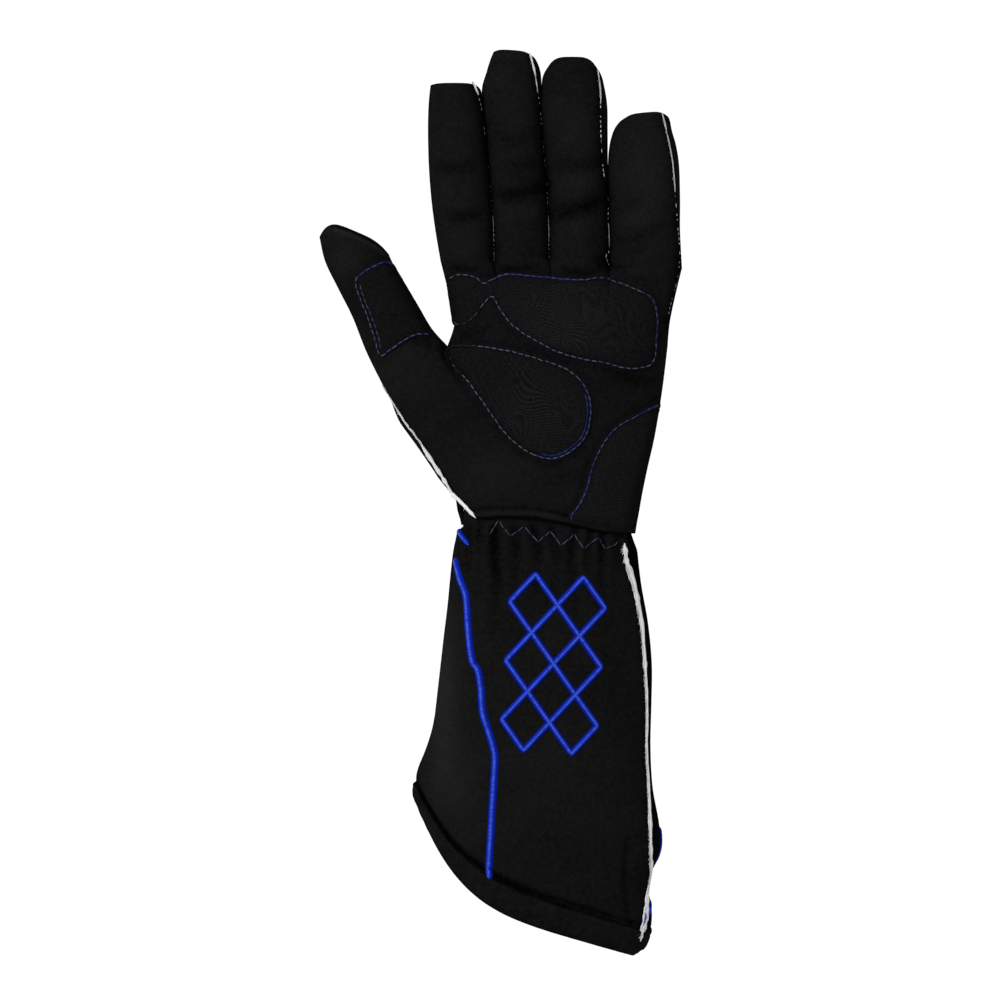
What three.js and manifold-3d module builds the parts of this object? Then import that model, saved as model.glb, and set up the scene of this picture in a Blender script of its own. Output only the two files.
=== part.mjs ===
// A long-cuffed karting glove for the left hand, lying on its back with the palm up.
// Millimetres. X runs across the hand to the little finger, Y to the fingertips, Z up.
import * as THREE from 'three';
import { mergeVertices } from 'three/addons/utils/BufferGeometryUtils.js';
import Module from 'manifold-3d';

const wasm = await Module();
wasm.setup();

// Driving sizes of the hand
const HAND_LENGTH = 190;
const PALM_WIDTH = 86;
const PALM_THICKNESS = 31;
const FINGER_THICKNESS = 19;
const THUMB_THICKNESS = 23;
const WRIST_WIDTH = 71.6;
const WRIST_THICKNESS = 27;
const FINGER_RISE = 3;
const THUMB_RISE = 4;

// Driving sizes of the gauntlet
const GAUNTLET_THUMB_SIDE = 108;
const GAUNTLET_LITTLE_SIDE = 164;
const HEM_WIDTH = 94;
const HEM_THICKNESS = 40;
const WRIST_SLOPE = 6.4;
const GATHER_DEPTH = 1.2;
const GATHER_LENGTH = 34;
const GATHER_FOLDS = 8;
const HEM_STEEP_SHARE = 0.68;
const HEM_STEEPNESS = 6;

// Cloth, trims and clearances
const CLOTH = 1.8;
const SEAM_GAP = 0.3;
const TUCK_DEPTH = 5;
const TUCK_CLEARANCE = 0.5;
const BINDING_WIDTH = 6.5;
const BINDING_CLOTH = 1;
const TRIM_GAP = 0.3;
const PATCH_THICKNESS = 1.1;
const PATCH_EDGE = 1.2;
const RAW_SEAM_WIDTH = 2;
const RAW_SEAM_HEIGHT = 1.3;
const SATIN_WIDTH = 2.8;
const SHORT_LINE_WIDTH = 2;
const SATIN_HEIGHT = 0.9;
const MOTIF_WIDTH = 38;
const MOTIF_LENGTH = 70;
const MOTIF_TILT = -4;

// How round the sections are, and how far the fingers' forms run into the palm
const PALM_ROUNDNESS = 2.4;
const FINGER_BLEND = 24;
const THUMB_BLEND = 56;
const DIGIT_REACH = 75;
const REST_FLAT = 1.06;
const KNUCKLE_SWELL = 1.25;
const THUMB_LEAN = 0.4;

// Facets
const DIGIT_STEPS = 6;
const FINGER_ROWS = 8;
const PALM_ROWS = 3;
const HEEL_ROWS = 5;
const GAUNTLET_STEPS = 20;

// Digits, from the crotch row to the tip. up: share of HAND_LENGTH at the left edge; lift: how much
// higher the right edge lies; left and right: shares of PALM_WIDTH from the middle of the wrist.
const DIGITS = {
  thumb: {
    crown: 0.042,
    rows: [
      { up: 0.295, lift: 0.082, left: -0.767, right: -0.465 },
      { up: 0.364, lift: 0.049, left: -0.842, right: -0.537 },
      { up: 0.438, lift: 0.023, left: -0.907, right: -0.6 },
      { up: 0.501, lift: 0.006, left: -0.977, right: -0.66 },
      { up: 0.554, lift: -0.009, left: -1.033, right: -0.712 },
      { up: 0.601, lift: -0.036, left: -1.058, right: -0.735 },
    ],
  },
  index: {
    crown: 0.017,
    rows: [
      { up: 0.556, lift: 0.002, left: -0.498, right: -0.249 },
      { up: 0.617, lift: 0, left: -0.522, right: -0.253 },
      { up: 0.684, lift: 0, left: -0.541, right: -0.264 },
      { up: 0.758, lift: 0, left: -0.553, right: -0.277 },
      { up: 0.832, lift: 0, left: -0.558, right: -0.291 },
      { up: 0.884, lift: 0, left: -0.556, right: -0.303 },
      { up: 0.916, lift: -0.002, left: -0.544, right: -0.311 },
    ],
  },
  middle: {
    crown: 0.024,
    rows: [
      { up: 0.558, lift: 0.004, left: -0.249, right: 0.009 },
      { up: 0.625, lift: 0, left: -0.248, right: 0.004 },
      { up: 0.686, lift: 0, left: -0.259, right: -0.002 },
      { up: 0.758, lift: 0, left: -0.272, right: -0.013 },
      { up: 0.832, lift: 0, left: -0.286, right: -0.027 },
      { up: 0.884, lift: 0, left: -0.296, right: -0.034 },
      { up: 0.926, lift: 0, left: -0.293, right: -0.031 },
      { up: 0.958, lift: 0, left: -0.285, right: -0.033 },
      { up: 0.982, lift: -0.008, left: -0.265, right: -0.05 },
    ],
  },
  ring: {
    crown: 0.027,
    rows: [
      { up: 0.562, lift: -0.014, left: 0.009, right: 0.288 },
      { up: 0.625, lift: 0, left: 0.009, right: 0.285 },
      { up: 0.686, lift: 0, left: 0.003, right: 0.282 },
      { up: 0.758, lift: 0, left: -0.008, right: 0.279 },
      { up: 0.832, lift: 0, left: -0.022, right: 0.281 },
      { up: 0.884, lift: 0, left: -0.028, right: 0.279 },
      { up: 0.926, lift: 0, left: -0.014, right: 0.265 },
      { up: 0.96, lift: 0, left: 0.003, right: 0.24 },
    ],
  },
  little: {
    crown: 0.02,
    rows: [
      { up: 0.548, lift: -0.006, left: 0.288, right: 0.628 },
      { up: 0.625, lift: 0, left: 0.293, right: 0.619 },
      { up: 0.686, lift: 0, left: 0.288, right: 0.619 },
      { up: 0.758, lift: 0, left: 0.286, right: 0.614 },
      { up: 0.8, lift: 0, left: 0.291, right: 0.6 },
      { up: 0.832, lift: 0, left: 0.307, right: 0.577 },
      { up: 0.848, lift: 0.006, left: 0.325, right: 0.562 },
    ],
  },
};

// The palm above the thumb's crotch: its edges, with the same columns as the digits
const UPPER_PALM = [
  { up: 0.556, lift: -0.014, left: -0.498, right: 0.628 },
  { up: 0.497, lift: -0.006, left: -0.465, right: 0.6 },
  { up: 0.432, lift: -0.004, left: -0.432, right: 0.57 },
  { up: 0.377, lift: -0.004, left: -0.465, right: 0.558 },
];

// The heel of the hand, from the thumb's crotch row down to just above the wrist
const HEEL = [
  { up: 0.295, lift: 0.078, left: -0.767, right: 0.558 },
  { up: 0.229, lift: 0.055, left: -0.674, right: 0.534 },
  { up: 0.168, lift: 0.021, left: -0.577, right: 0.5 },
  { up: 0.105, lift: 0.007, left: -0.484, right: 0.462 },
  { up: 0.059, lift: -0.017, left: -0.43, right: 0.432 },
];

// Where the lines between the digits meet the wrist, as shares of the wrist's width
const WRIST_SHARES = [0, 0.21, 0.43, 0.62, 0.81, 1];
const UPPER_PALM_SHARE = 0.33;

// Creases across the fingers: share of HAND_LENGTH above the wrist, depth and half length in mm
const CREASES = [
  { up: 0.635, depth: 0.9, reach: 4 },
  { up: 0.7, depth: 1.1, reach: 4 },
  { up: 0.815, depth: 0.9, reach: 4 },
];

// The gauntlet's two edges below the wrist. along: share of each side's length; left and right:
// shares of HEM_WIDTH from the middle of the wrist.
const GAUNTLET = [
  { along: 0.1, left: -0.402, right: 0.398 },
  { along: 0.2, left: -0.415, right: 0.428 },
  { along: 0.3, left: -0.426, right: 0.444 },
  { along: 0.4, left: -0.44, right: 0.442 },
  { along: 0.5, left: -0.453, right: 0.438 },
  { along: 0.6, left: -0.466, right: 0.447 },
  { along: 0.7, left: -0.479, right: 0.476 },
  { along: 0.76, left: -0.493, right: 0.474 },
  { along: 0.83, left: -0.519, right: 0.427 },
  { along: 0.91, left: -0.547, right: 0.441 },
  { along: 1, left: -0.556, right: 0.404 },
];

// Grip patches: closed outlines as shares of PALM_WIDTH across and HAND_LENGTH up
const KNUCKLE_PATCH = [
  { across: -0.456, up: 0.516 }, { across: -0.43, up: 0.524 }, { across: -0.35, up: 0.524 },
  { across: -0.293, up: 0.506 }, { across: -0.255, up: 0.514 }, { across: -0.172, up: 0.526 },
  { across: 0, up: 0.522 }, { across: 0.172, up: 0.512 }, { across: 0.251, up: 0.518 },
  { across: 0.391, up: 0.51 }, { across: 0.49, up: 0.472 }, { across: 0.507, up: 0.428 },
  { across: 0.493, up: 0.352 }, { across: 0.465, up: 0.335 }, { across: 0.386, up: 0.328 },
  { across: 0.214, up: 0.343 }, { across: 0.037, up: 0.364 }, { across: -0.158, up: 0.417 },
  { across: -0.251, up: 0.476 }, { across: -0.284, up: 0.465 }, { across: -0.326, up: 0.442 },
  { across: -0.391, up: 0.423 }, { across: -0.426, up: 0.43 }, { across: -0.437, up: 0.465 },
];
const PALM_PATCH = [
  { across: -0.456, up: 0.372 }, { across: -0.353, up: 0.373 }, { across: -0.205, up: 0.366 },
  { across: -0.009, up: 0.343 }, { across: 0.153, up: 0.301 }, { across: 0.2, up: 0.244 },
  { across: 0.172, up: 0.183 }, { across: 0.037, up: 0.139 }, { across: -0.112, up: 0.158 },
  { across: -0.237, up: 0.219 }, { across: -0.367, up: 0.301 },
];
const HEEL_PATCH = [
  { across: 0.519, up: 0.25 }, { across: 0.405, up: 0.227 }, { across: 0.274, up: 0.181 },
  { across: 0.205, up: 0.116 }, { across: 0.149, up: 0.044 }, { across: 0.115, up: 0.01 },
];
const THUMB_PATCH = [
  { across: -0.714, up: 0.547 }, { across: -0.763, up: 0.549 }, { across: -0.823, up: 0.535 },
  { across: -0.88, up: 0.509 }, { across: -0.86, up: 0.471 }, { across: -0.795, up: 0.4 },
  { across: -0.77, up: 0.357 }, { across: -0.733, up: 0.364 }, { across: -0.665, up: 0.385 },
  { across: -0.56, up: 0.4 }, { across: -0.62, up: 0.47 },
];

// Raw white seams of the hand: routes with the same columns as the patches
const HAND_SEAMS = {
  thumb_side_seam: [
    { across: -0.83, up: 0.352 }, { across: -0.77, up: 0.311 }, { across: -0.682, up: 0.242 },
    { across: -0.57, up: 0.165 }, { across: -0.45, up: 0.085 }, { across: -0.36, up: 0.022 },
  ],
  index_seam: [
    { across: -0.34, up: 0.926 }, { across: -0.318, up: 0.865 }, { across: -0.3, up: 0.79 },
    { across: -0.282, up: 0.7 }, { across: -0.272, up: 0.62 }, { across: -0.262, up: 0.562 },
  ],
  middle_seam: [
    { across: -0.083, up: 0.985 }, { across: -0.062, up: 0.945 }, { across: -0.054, up: 0.86 },
    { across: -0.036, up: 0.78 }, { across: -0.018, up: 0.69 }, { across: -0.012, up: 0.565 },
  ],
  ring_seam: [
    { across: 0.23, up: 0.95 }, { across: 0.248, up: 0.9 }, { across: 0.258, up: 0.8 },
    { across: 0.262, up: 0.7 }, { across: 0.268, up: 0.63 }, { across: 0.272, up: 0.56 },
  ],
  little_finger_seam: [
    { across: 0.528, up: 0.852 }, { across: 0.566, up: 0.8 }, { across: 0.59, up: 0.72 },
    { across: 0.602, up: 0.62 }, { across: 0.606, up: 0.555 }, { across: 0.594, up: 0.49 },
    { across: 0.566, up: 0.42 },
  ],
};

// Routes on the gauntlet. side: share of the way from its left edge to its right edge;
// along: share of the way from the wrist to the binding
const GAUNTLET_SEAM = [
  { side: 0.94, along: 0.05 }, { side: 0.955, along: 0.15 }, { side: 0.965, along: 0.33 },
  { side: 0.97, along: 0.55 }, { side: 0.968, along: 0.76 }, { side: 0.972, along: 0.9 },
  { side: 0.97, along: 0.975 },
];
const LONG_LINE = [
  { side: 0.02, along: 0.11 }, { side: 0.06, along: 0.22 }, { side: 0.1, along: 0.36 },
  { side: 0.165, along: 0.5 }, { side: 0.22, along: 0.64 }, { side: 0.25, along: 0.75 },
  { side: 0.275, along: 0.86 }, { side: 0.31, along: 0.975 },
];
const SHORT_LINE = [
  { side: 0.03, along: 0.035 }, { side: 0.06, along: 0.08 },
];
const BACK_LINE = [
  { side: 0.985, along: 0.74 }, { side: 0.97, along: 0.85 }, { side: 0.955, along: 0.96 },
];
const MOTIF_PLACE = { side: 0.5, along: 0.42 };

const CLOTH_LOOK = { color: 0x17171a, roughness: 0.95, metalness: 0 };
const GRIP_LOOK = { color: 0x0f0f12, roughness: 0.7, metalness: 0 };
const WHITE_LOOK = { color: 0xe4e4ea, roughness: 0.9, metalness: 0 };
const BLUE_LOOK = { color: 0x1c3fe0, roughness: 0.5, metalness: 0 };

const mix = (a, b, share) => a + (b - a) * share;
const lens = (u) => Math.sqrt(Math.max(0, 1 - u * u));
const broadLens = (u) => Math.max(0, 1 - Math.abs(u) ** PALM_ROUNDNESS) ** (1 / PALM_ROUNDNESS);
const quarterRound = (distance, reach) => lens(1 - Math.min(distance / reach, 1));
const sideSpacing = (share) => (1 - Math.cos(Math.PI * share)) / 2;
const handPoint = (across, up) => new THREE.Vector2(across * PALM_WIDTH, up * HAND_LENGTH);

// The wrist line falls from the thumb side to the little-finger side
const wristPoint = (share) => new THREE.Vector2((share - 0.5) * WRIST_WIDTH, -WRIST_SLOPE * share ** 2);

// Two edge curves through a table's rows
function edges(rows, leftEnd, rightEnd) {
  const left = rows.map((row) => handPoint(row.left, row.up));
  const right = rows.map((row) => handPoint(row.right, row.up + row.lift));
  return {
    left: new THREE.SplineCurve(leftEnd ? [...left, leftEnd] : left),
    right: new THREE.SplineCurve(rightEnd ? [...right, rightEnd] : right),
  };
}

// A net is a set of points shared by the panels that are sewn together, and its four-sided cells
function newNet() {
  return { points: [], cells: [], ids: new Map() };
}

function addPoint(net, key, make) {
  if (!net.ids.has(key)) {
    net.ids.set(key, net.points.length);
    net.points.push(make());
  }
  return net.ids.get(key);
}

function creaseDepth(y) {
  return CREASES.reduce((sum, crease) => {
    const offset = (y - crease.up * HAND_LENGTH) / crease.reach;
    return sum + crease.depth * Math.exp(-offset * offset);
  }, 0);
}

// One finger or the thumb: a point at the share across and the share along
function digitPoint(name, curves, across, along, middle) {
  const isThumb = name === 'thumb';
  const u = 2 * across - 1;
  const point = curves.left.getPoint(along).lerp(curves.right.getPoint(along), across);
  const lean = isThumb ? 1 - THUMB_LEAN * u : 1;
  point.y += DIGITS[name].crown * HAND_LENGTH * along ** 6 * (1 - u ** 4) * lean;
  const half = (isThumb ? THUMB_THICKNESS : FINGER_THICKNESS) / 2;
  const tip = quarterRound((1 - along) * DIGIT_REACH, half);
  const crease = isThumb ? 0 : creaseDepth(point.y) * lens(u) * tip;
  return {
    x: point.x,
    y: point.y,
    middle: mix(middle, middle + (isThumb ? THUMB_RISE : FINGER_RISE), along),
    front: half * lens(u) * tip - crease,
    back: half * lens(u) * tip,
    floor: 0,
    open: false,
  };
}

// The lines between the digits, as they run from the crotches through the palm to the wrist
function dividers() {
  const names = ['thumb', 'index', 'middle', 'ring'];
  return names.map((name, index) => {
    const base = DIGITS[name].rows[0];
    const crotch = handPoint(base.right, base.up + base.lift);
    return new THREE.LineCurve(crotch, wristPoint(WRIST_SHARES[index + 1]));
  });
}

// Rows lie closer together towards the tip
const tipSpacing = (share) => 1 - (1 - share) ** 1.5;

const UPPER_MIDDLE = PALM_THICKNESS / 2;
const WRIST_MIDDLE = WRIST_THICKNESS / 2;
const FINGER_MIDDLE = FINGER_THICKNESS / 2;

// A point of the palm between two corner points of its row
function palmPoint(row, digit, across) {
  const point = row.corners[digit].clone().lerp(row.corners[digit + 1], across);
  const u = 2 * across - 1;
  const isThumb = digit === 0;
  const half = (isThumb ? THUMB_THICKNESS : FINGER_THICKNESS) / 2;
  const first = row.corners[row.upper ? 1 : 0];
  const last = row.corners[5];
  const whole = (2 * (point.x - first.x)) / (last.x - first.x) - 1;
  const inner = (2 * (point.x - row.corners[1].x)) / (last.x - row.corners[1].x) - 1;
  const fingerFree = 1 - quarterRound(row.belowFingers, FINGER_BLEND);
  const thumbFree = 1 - quarterRound(row.belowThumb, THUMB_BLEND);
  const fromPalm = (flat) => {
    const digits = half * lens(u);
    const knuckles = isThumb ? digits : mix(flat * broadLens(inner), digits, fingerFree);
    return mix(flat * broadLens(whole), knuckles, thumbFree);
  };
  return {
    x: point.x,
    y: point.y,
    middle: row.middle,
    front: fromPalm(row.half),
    back: fromPalm(row.middle * REST_FLAT),
    floor: 0,
    open: row.open,
  };
}

function palmRows() {
  const upper = edges(UPPER_PALM);
  const heel = edges(HEEL, wristPoint(0), wristPoint(1));
  const lines = dividers();
  const upperLength = (UPPER_PALM[0].up - UPPER_PALM[3].up) * HAND_LENGTH;
  const heelLength = UPPER_PALM[3].up * HAND_LENGTH;
  const rows = [];
  for (let i = 0; i <= PALM_ROWS; i += 1) {
    const share = i / PALM_ROWS;
    const inPalm = lines.slice(1).map((line) => line.getPoint(share * UPPER_PALM_SHARE));
    rows.push({
      corners: [null, upper.left.getPoint(share), ...inPalm, upper.right.getPoint(share)],
      upper: true,
      belowFingers: share * upperLength,
      belowThumb: 0,
      middle: mix(FINGER_MIDDLE, UPPER_MIDDLE, share),
      half: mix(FINGER_MIDDLE * KNUCKLE_SWELL, UPPER_MIDDLE, share),
      open: false,
    });
  }
  const joining = rows[PALM_ROWS];
  joining.corners[0] = heel.left.getPoint(0);
  joining.upper = false;
  for (let i = 1; i <= HEEL_ROWS; i += 1) {
    const share = i / HEEL_ROWS;
    const inPalm = lines.slice(1).map((line) => line.getPoint(mix(UPPER_PALM_SHARE, 1, share)));
    rows.push({
      corners: [heel.left.getPoint(share), lines[0].getPoint(share), ...inPalm, heel.right.getPoint(share)],
      upper: false,
      belowFingers: upperLength + share * heelLength,
      belowThumb: share * heelLength,
      middle: mix(UPPER_MIDDLE, WRIST_MIDDLE, share),
      half: mix(UPPER_MIDDLE, WRIST_MIDDLE, share),
      open: i === HEEL_ROWS,
    });
  }
  return rows;
}

function handNet() {
  const net = newNet();
  const rows = palmRows();
  const palmId = (row, digit, step) => addPoint(net, `palm ${row} ${digit * DIGIT_STEPS + step}`,
    () => palmPoint(rows[row], digit, sideSpacing(step / DIGIT_STEPS)));
  const cell = (at, row, digit, step) => net.cells.push([
    at(row + 1, digit, step), at(row + 1, digit, step + 1), at(row, digit, step + 1), at(row, digit, step)]);
  for (let row = 0; row < rows.length - 1; row += 1) {
    for (let digit = row < PALM_ROWS ? 1 : 0; digit < 5; digit += 1) {
      for (let step = 0; step < DIGIT_STEPS; step += 1) cell(palmId, row, digit, step);
    }
  }
  Object.entries(DIGITS).forEach(([name, table], digit) => {
    const curves = edges(table.rows);
    const middle = digit === 0 ? UPPER_MIDDLE : FINGER_MIDDLE;
    const baseRow = digit === 0 ? PALM_ROWS : 0;
    const id = (row, column, step) => (row === 0 ? palmId(baseRow, column, step)
      : addPoint(net, `${name} ${row} ${step}`,
        () => digitPoint(name, curves, sideSpacing(step / DIGIT_STEPS), tipSpacing(row / FINGER_ROWS), middle)));
    const below = (row, column, step) => id(FINGER_ROWS - row, column, step);
    for (let row = 0; row < FINGER_ROWS; row += 1) {
      for (let step = 0; step < DIGIT_STEPS; step += 1) cell(below, row, digit, step);
    }
  });
  return net;
}

const BINDING_SHARE = BINDING_WIDTH / GAUNTLET_THUMB_SIDE;

// Hem curve: steep below the thumb side, then level towards the little-finger side
const hemShape = (share) => mix(share, 1 - (1 - share) ** HEM_STEEPNESS, HEM_STEEP_SHARE);

// The gauntlet's edges: smooth curves through the wrist's corners and the table's rows
const edgeRows = [{ along: 0, left: -WRIST_WIDTH / HEM_WIDTH / 2, right: WRIST_WIDTH / HEM_WIDTH / 2 }, ...GAUNTLET];
const gauntletEdges = {
  left: new THREE.SplineCurve(edgeRows.map((row) => new THREE.Vector2(row.along, row.left * HEM_WIDTH))),
  right: new THREE.SplineCurve(edgeRows.map((row) => new THREE.Vector2(row.along, row.right * HEM_WIDTH))),
};

function gauntletEdge(name, along) {
  const next = Math.max(1, edgeRows.findIndex((row) => row.along >= along - 1e-9));
  const from = edgeRows[next - 1].along;
  const share = (along - from) / (edgeRows[next].along - from);
  return gauntletEdges[name].getPoint((next - 1 + share) / (edgeRows.length - 1)).y;
}

// A point of the gauntlet: share from left to right, share from wrist to hem, and how far it is tucked
// inwards. Its mid line, half thickness and gathers go with it.
function gauntletPoint(side, along, inset, open) {
  const below = Math.max(along, 0);
  const left = gauntletEdge('left', below) + inset;
  const right = gauntletEdge('right', below) - inset;
  const wrist = wristPoint(side).y;
  const drop = mix(side, hemShape(side), below ** 1.5);
  const length = mix(GAUNTLET_THUMB_SIDE, GAUNTLET_LITTLE_SIDE, drop);
  const u = 2 * side - 1;
  const middle = mix(WRIST_THICKNESS, HEM_THICKNESS, below) / 2;
  const fold = Math.cos(2 * Math.PI * GATHER_FOLDS * side) * Math.exp(-(((below * length) / GATHER_LENGTH) ** 2));
  const gather = inset > 0 ? 0 : GATHER_DEPTH * fold * broadLens(u);
  return {
    x: mix(left, right, side),
    y: wrist - along * length,
    middle,
    front: (middle - inset) * broadLens(u) + gather,
    back: (middle * REST_FLAT - inset) * broadLens(u),
    floor: inset + (BINDING_CLOTH + TRIM_GAP) * Math.min(1, below / (1 - BINDING_SHARE)) ** 2,
    open,
  };
}

const TUCK_INSET = CLOTH + TUCK_CLEARANCE;
const GAUNTLET_ROWS = [
  { along: -TUCK_DEPTH / GAUNTLET_THUMB_SIDE, inset: TUCK_INSET },
  { along: 0.008, inset: TUCK_INSET },
  ...[0.045, 0.11, 0.2, 0.32, 0.45, 0.58, 0.69, 0.76, 0.83].map((along) => ({ along, inset: 0 })),
  { along: 1 - BINDING_SHARE, inset: 0 },
  { along: 1, inset: 0 },
];
const gauntletSpacing = (share) => mix(share, sideSpacing(share), 0.6);

function gauntletNet() {
  const net = newNet();
  const last = GAUNTLET_ROWS.length - 1;
  const id = (row, step) => addPoint(net, `${row} ${step}`, () => {
    const { along, inset } = GAUNTLET_ROWS[row];
    return gauntletPoint(gauntletSpacing(step / GAUNTLET_STEPS), along, inset, row === 0 || row === last);
  });
  for (let row = 0; row < last; row += 1) {
    for (let step = 0; step < GAUNTLET_STEPS; step += 1) {
      net.cells.push([id(row + 1, step), id(row + 1, step + 1), id(row, step + 1), id(row, step)]);
    }
  }
  return net;
}

// The face of a net on the palm side (side 1) or the back side (side -1), raised by the given height
function netFace(net, side, raise) {
  const points = net.points.map((point) => new THREE.Vector3(point.x, point.y, side > 0
    ? point.middle + SEAM_GAP / 2 + point.front + raise
    : Math.max(point.floor, point.middle - SEAM_GAP / 2 - point.back) - raise));
  const triangles = net.cells.flatMap(([a, b, c, d]) => (side > 0
    ? [[a, b, c], [a, c, d]]
    : [[a, c, b], [a, d, c]]));
  return { points, triangles };
}

// Edges that only one triangle uses, in that triangle's direction
function openEdges(triangles) {
  const edgesLeft = new Map();
  triangles.forEach(([a, b, c]) => [[a, b], [b, c], [c, a]].forEach(([from, to]) => {
    if (!edgesLeft.delete(`${to} ${from}`)) edgesLeft.set(`${from} ${to}`, [from, to]);
  }));
  return [...edgesLeft.values()];
}

// Directions in which each point of a sheet is thickened: away from the sewn edge in plan at the edge,
// and square to the face elsewhere
function sheetNormals(net, face) {
  const normals = face.points.map(() => new THREE.Vector3());
  face.triangles.forEach(([a, b, c]) => {
    const [p, q, r] = [face.points[a], face.points[b], face.points[c]];
    const normal = q.clone().sub(p).cross(r.clone().sub(p));
    [a, b, c].forEach((index) => normals[index].add(normal));
  });
  normals.forEach((normal, index) => {
    if (net.points[index].open) normal.y = 0;
    normal.normalize();
  });
  const along = new Map();
  openEdges(face.triangles).forEach(([from, to]) => {
    if (net.points[from].open && net.points[to].open) return;
    const step = face.points[to].clone().sub(face.points[from]).setZ(0).normalize();
    [from, to].forEach((index) => along.set(index, (along.get(index) ?? new THREE.Vector3()).add(step)));
  });
  const turn = face.triangles[0][1] === net.cells[0][1] ? 1 : -1;
  along.forEach((step, index) => {
    normals[index].set(step.y * turn, net.points[index].open ? 0 : -step.x * turn, 0).normalize();
  });
  return normals;
}

function solidFrom(points, triangles) {
  const geometry = new THREE.BufferGeometry().setFromPoints(points);
  geometry.setIndex(triangles.flat());
  return geometry;
}

// A closed sheet between an outer face and an inner face with the same triangles
function closeSheet(outer, inner, triangles) {
  const count = outer.length;
  const rim = openEdges(triangles).flatMap(([a, b]) => [[b, a, a + count], [b, a + count, b + count]]);
  const backs = triangles.map(([a, b, c]) => [a + count, c + count, b + count]);
  return solidFrom([...outer, ...inner], [...triangles, ...backs, ...rim]);
}

function clothPanel(net, side) {
  const face = netFace(net, side, 0);
  const normals = sheetNormals(net, face);
  const inner = face.points.map((point, index) => point.clone().addScaledVector(normals[index], -CLOTH));
  return closeSheet(face.points, inner, face.triangles);
}

function toManifold(geometry) {
  const bare = geometry.clone();
  bare.deleteAttribute('normal');
  bare.deleteAttribute('uv');
  const merged = mergeVertices(bare, 1e-4);
  return new wasm.Manifold(new wasm.Mesh({
    numProp: 3,
    vertProperties: new Float32Array(merged.attributes.position.array),
    triVerts: new Uint32Array(merged.index.array),
  }));
}

function fromManifold(solid) {
  const mesh = solid.getMesh();
  const geometry = new THREE.BufferGeometry();
  geometry.setAttribute('position', new THREE.BufferAttribute(new Float32Array(mesh.vertProperties), 3));
  geometry.setIndex(new THREE.BufferAttribute(new Uint32Array(mesh.triVerts), 1));
  return geometry;
}

// A trim that lies on a panel: the layer over its face, cut to shapes seen in plan and joined
function trim(net, side, shapes, thickness) {
  const low = netFace(net, side, TRIM_GAP);
  const high = netFace(net, side, TRIM_GAP + thickness);
  const layer = toManifold(closeSheet(high.points, low.points, low.triangles));
  const height = HEM_THICKNESS + PALM_THICKNESS;
  const prisms = shapes.map((shape) => {
    const prism = new THREE.ExtrudeGeometry(shape, { depth: 2 * height, bevelEnabled: false, steps: 1 });
    return toManifold(prism.translate(0, 0, -height));
  });
  return fromManifold(layer.intersect(prisms.reduce((joined, prism) => joined.add(prism))));
}

function closedShape(table, count) {
  const curve = new THREE.CatmullRomCurve3(
    table.map((row) => new THREE.Vector3(row.across * PALM_WIDTH, row.up * HAND_LENGTH, 0)), true);
  return new THREE.Shape(curve.getPoints(count).slice(0, -1).map((point) => new THREE.Vector2(point.x, point.y)));
}

// A ribbon of one width along a route
function ribbon(route, width, count) {
  const curve = new THREE.SplineCurve(route);
  const left = [];
  const right = [];
  for (let i = 0; i <= count; i += 1) {
    const at = curve.getPoint(i / count);
    const ahead = curve.getTangent(i / count);
    left.push(new THREE.Vector2(at.x - (ahead.y * width) / 2, at.y + (ahead.x * width) / 2));
    right.push(new THREE.Vector2(at.x + (ahead.y * width) / 2, at.y - (ahead.x * width) / 2));
  }
  return new THREE.Shape([...left, ...right.reverse()]);
}

const handRoute = (table) => table.map((row) => handPoint(row.across, row.up));
const gauntletRoute = (table) => table.map((row) => {
  const point = gauntletPoint(row.side, row.along * (1 - BINDING_SHARE), 0, false);
  return new THREE.Vector2(point.x, point.y);
});

// The heel patch runs from its curved edge to the side of the hand and the wrist
function heelShape() {
  const inner = new THREE.SplineCurve(handRoute(HEEL_PATCH)).getPoints(12);
  const heel = edges(HEEL, wristPoint(0), wristPoint(1)).right;
  const outer = [];
  for (let i = 2; i <= 8; i += 1) outer.push(heel.getPoint(i / 8));
  outer.forEach((point) => { point.x -= PATCH_EDGE; });
  outer[outer.length - 1].y += PATCH_EDGE;
  const foot = inner[inner.length - 1];
  const low = [0.75, 0.5, 0.25].map((share) => {
    const x = mix(foot.x, outer[outer.length - 1].x, share);
    return new THREE.Vector2(x, wristPoint(x / WRIST_WIDTH + 0.5).y + PATCH_EDGE);
  });
  foot.y = wristPoint(foot.x / WRIST_WIDTH + 0.5).y + PATCH_EDGE;
  const start = inner.filter((point) => point.x < outer[0].x);
  return new THREE.Shape([...start, ...low.reverse(), ...outer.reverse()]);
}

// A lattice of two by three diamonds: a frame of bars with six diamond windows
function latticeShape() {
  const columns = 2;
  const rows = 3;
  const bar = SATIN_WIDTH;
  const cellWidth = MOTIF_WIDTH / columns;
  const cellLength = MOTIF_LENGTH / rows;
  const middle = gauntletRoute([MOTIF_PLACE])[0];
  const turn = THREE.MathUtils.degToRad(MOTIF_TILT);
  const place = (x, y) => new THREE.Vector2(x, y).rotateAround(new THREE.Vector2(), turn).add(middle);
  const diamond = (x, y, grow) => [[0, 1], [-1, 0], [0, -1], [1, 0]].map(([side, rise]) => place(
    x + side * (cellWidth / 2 + grow), y + rise * (cellLength / 2 + (grow * cellLength) / cellWidth)));
  const shapes = [];
  for (let column = 0; column < columns; column += 1) {
    for (let row = 0; row < rows; row += 1) {
      const x = (column - (columns - 1) / 2) * cellWidth;
      const y = (row - (rows - 1) / 2) * cellLength;
      const shape = new THREE.Shape(diamond(x, y, bar / 2));
      shape.holes.push(new THREE.Path(diamond(x, y, -bar / 2)));
      shapes.push(shape);
    }
  }
  return shapes;
}

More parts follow.
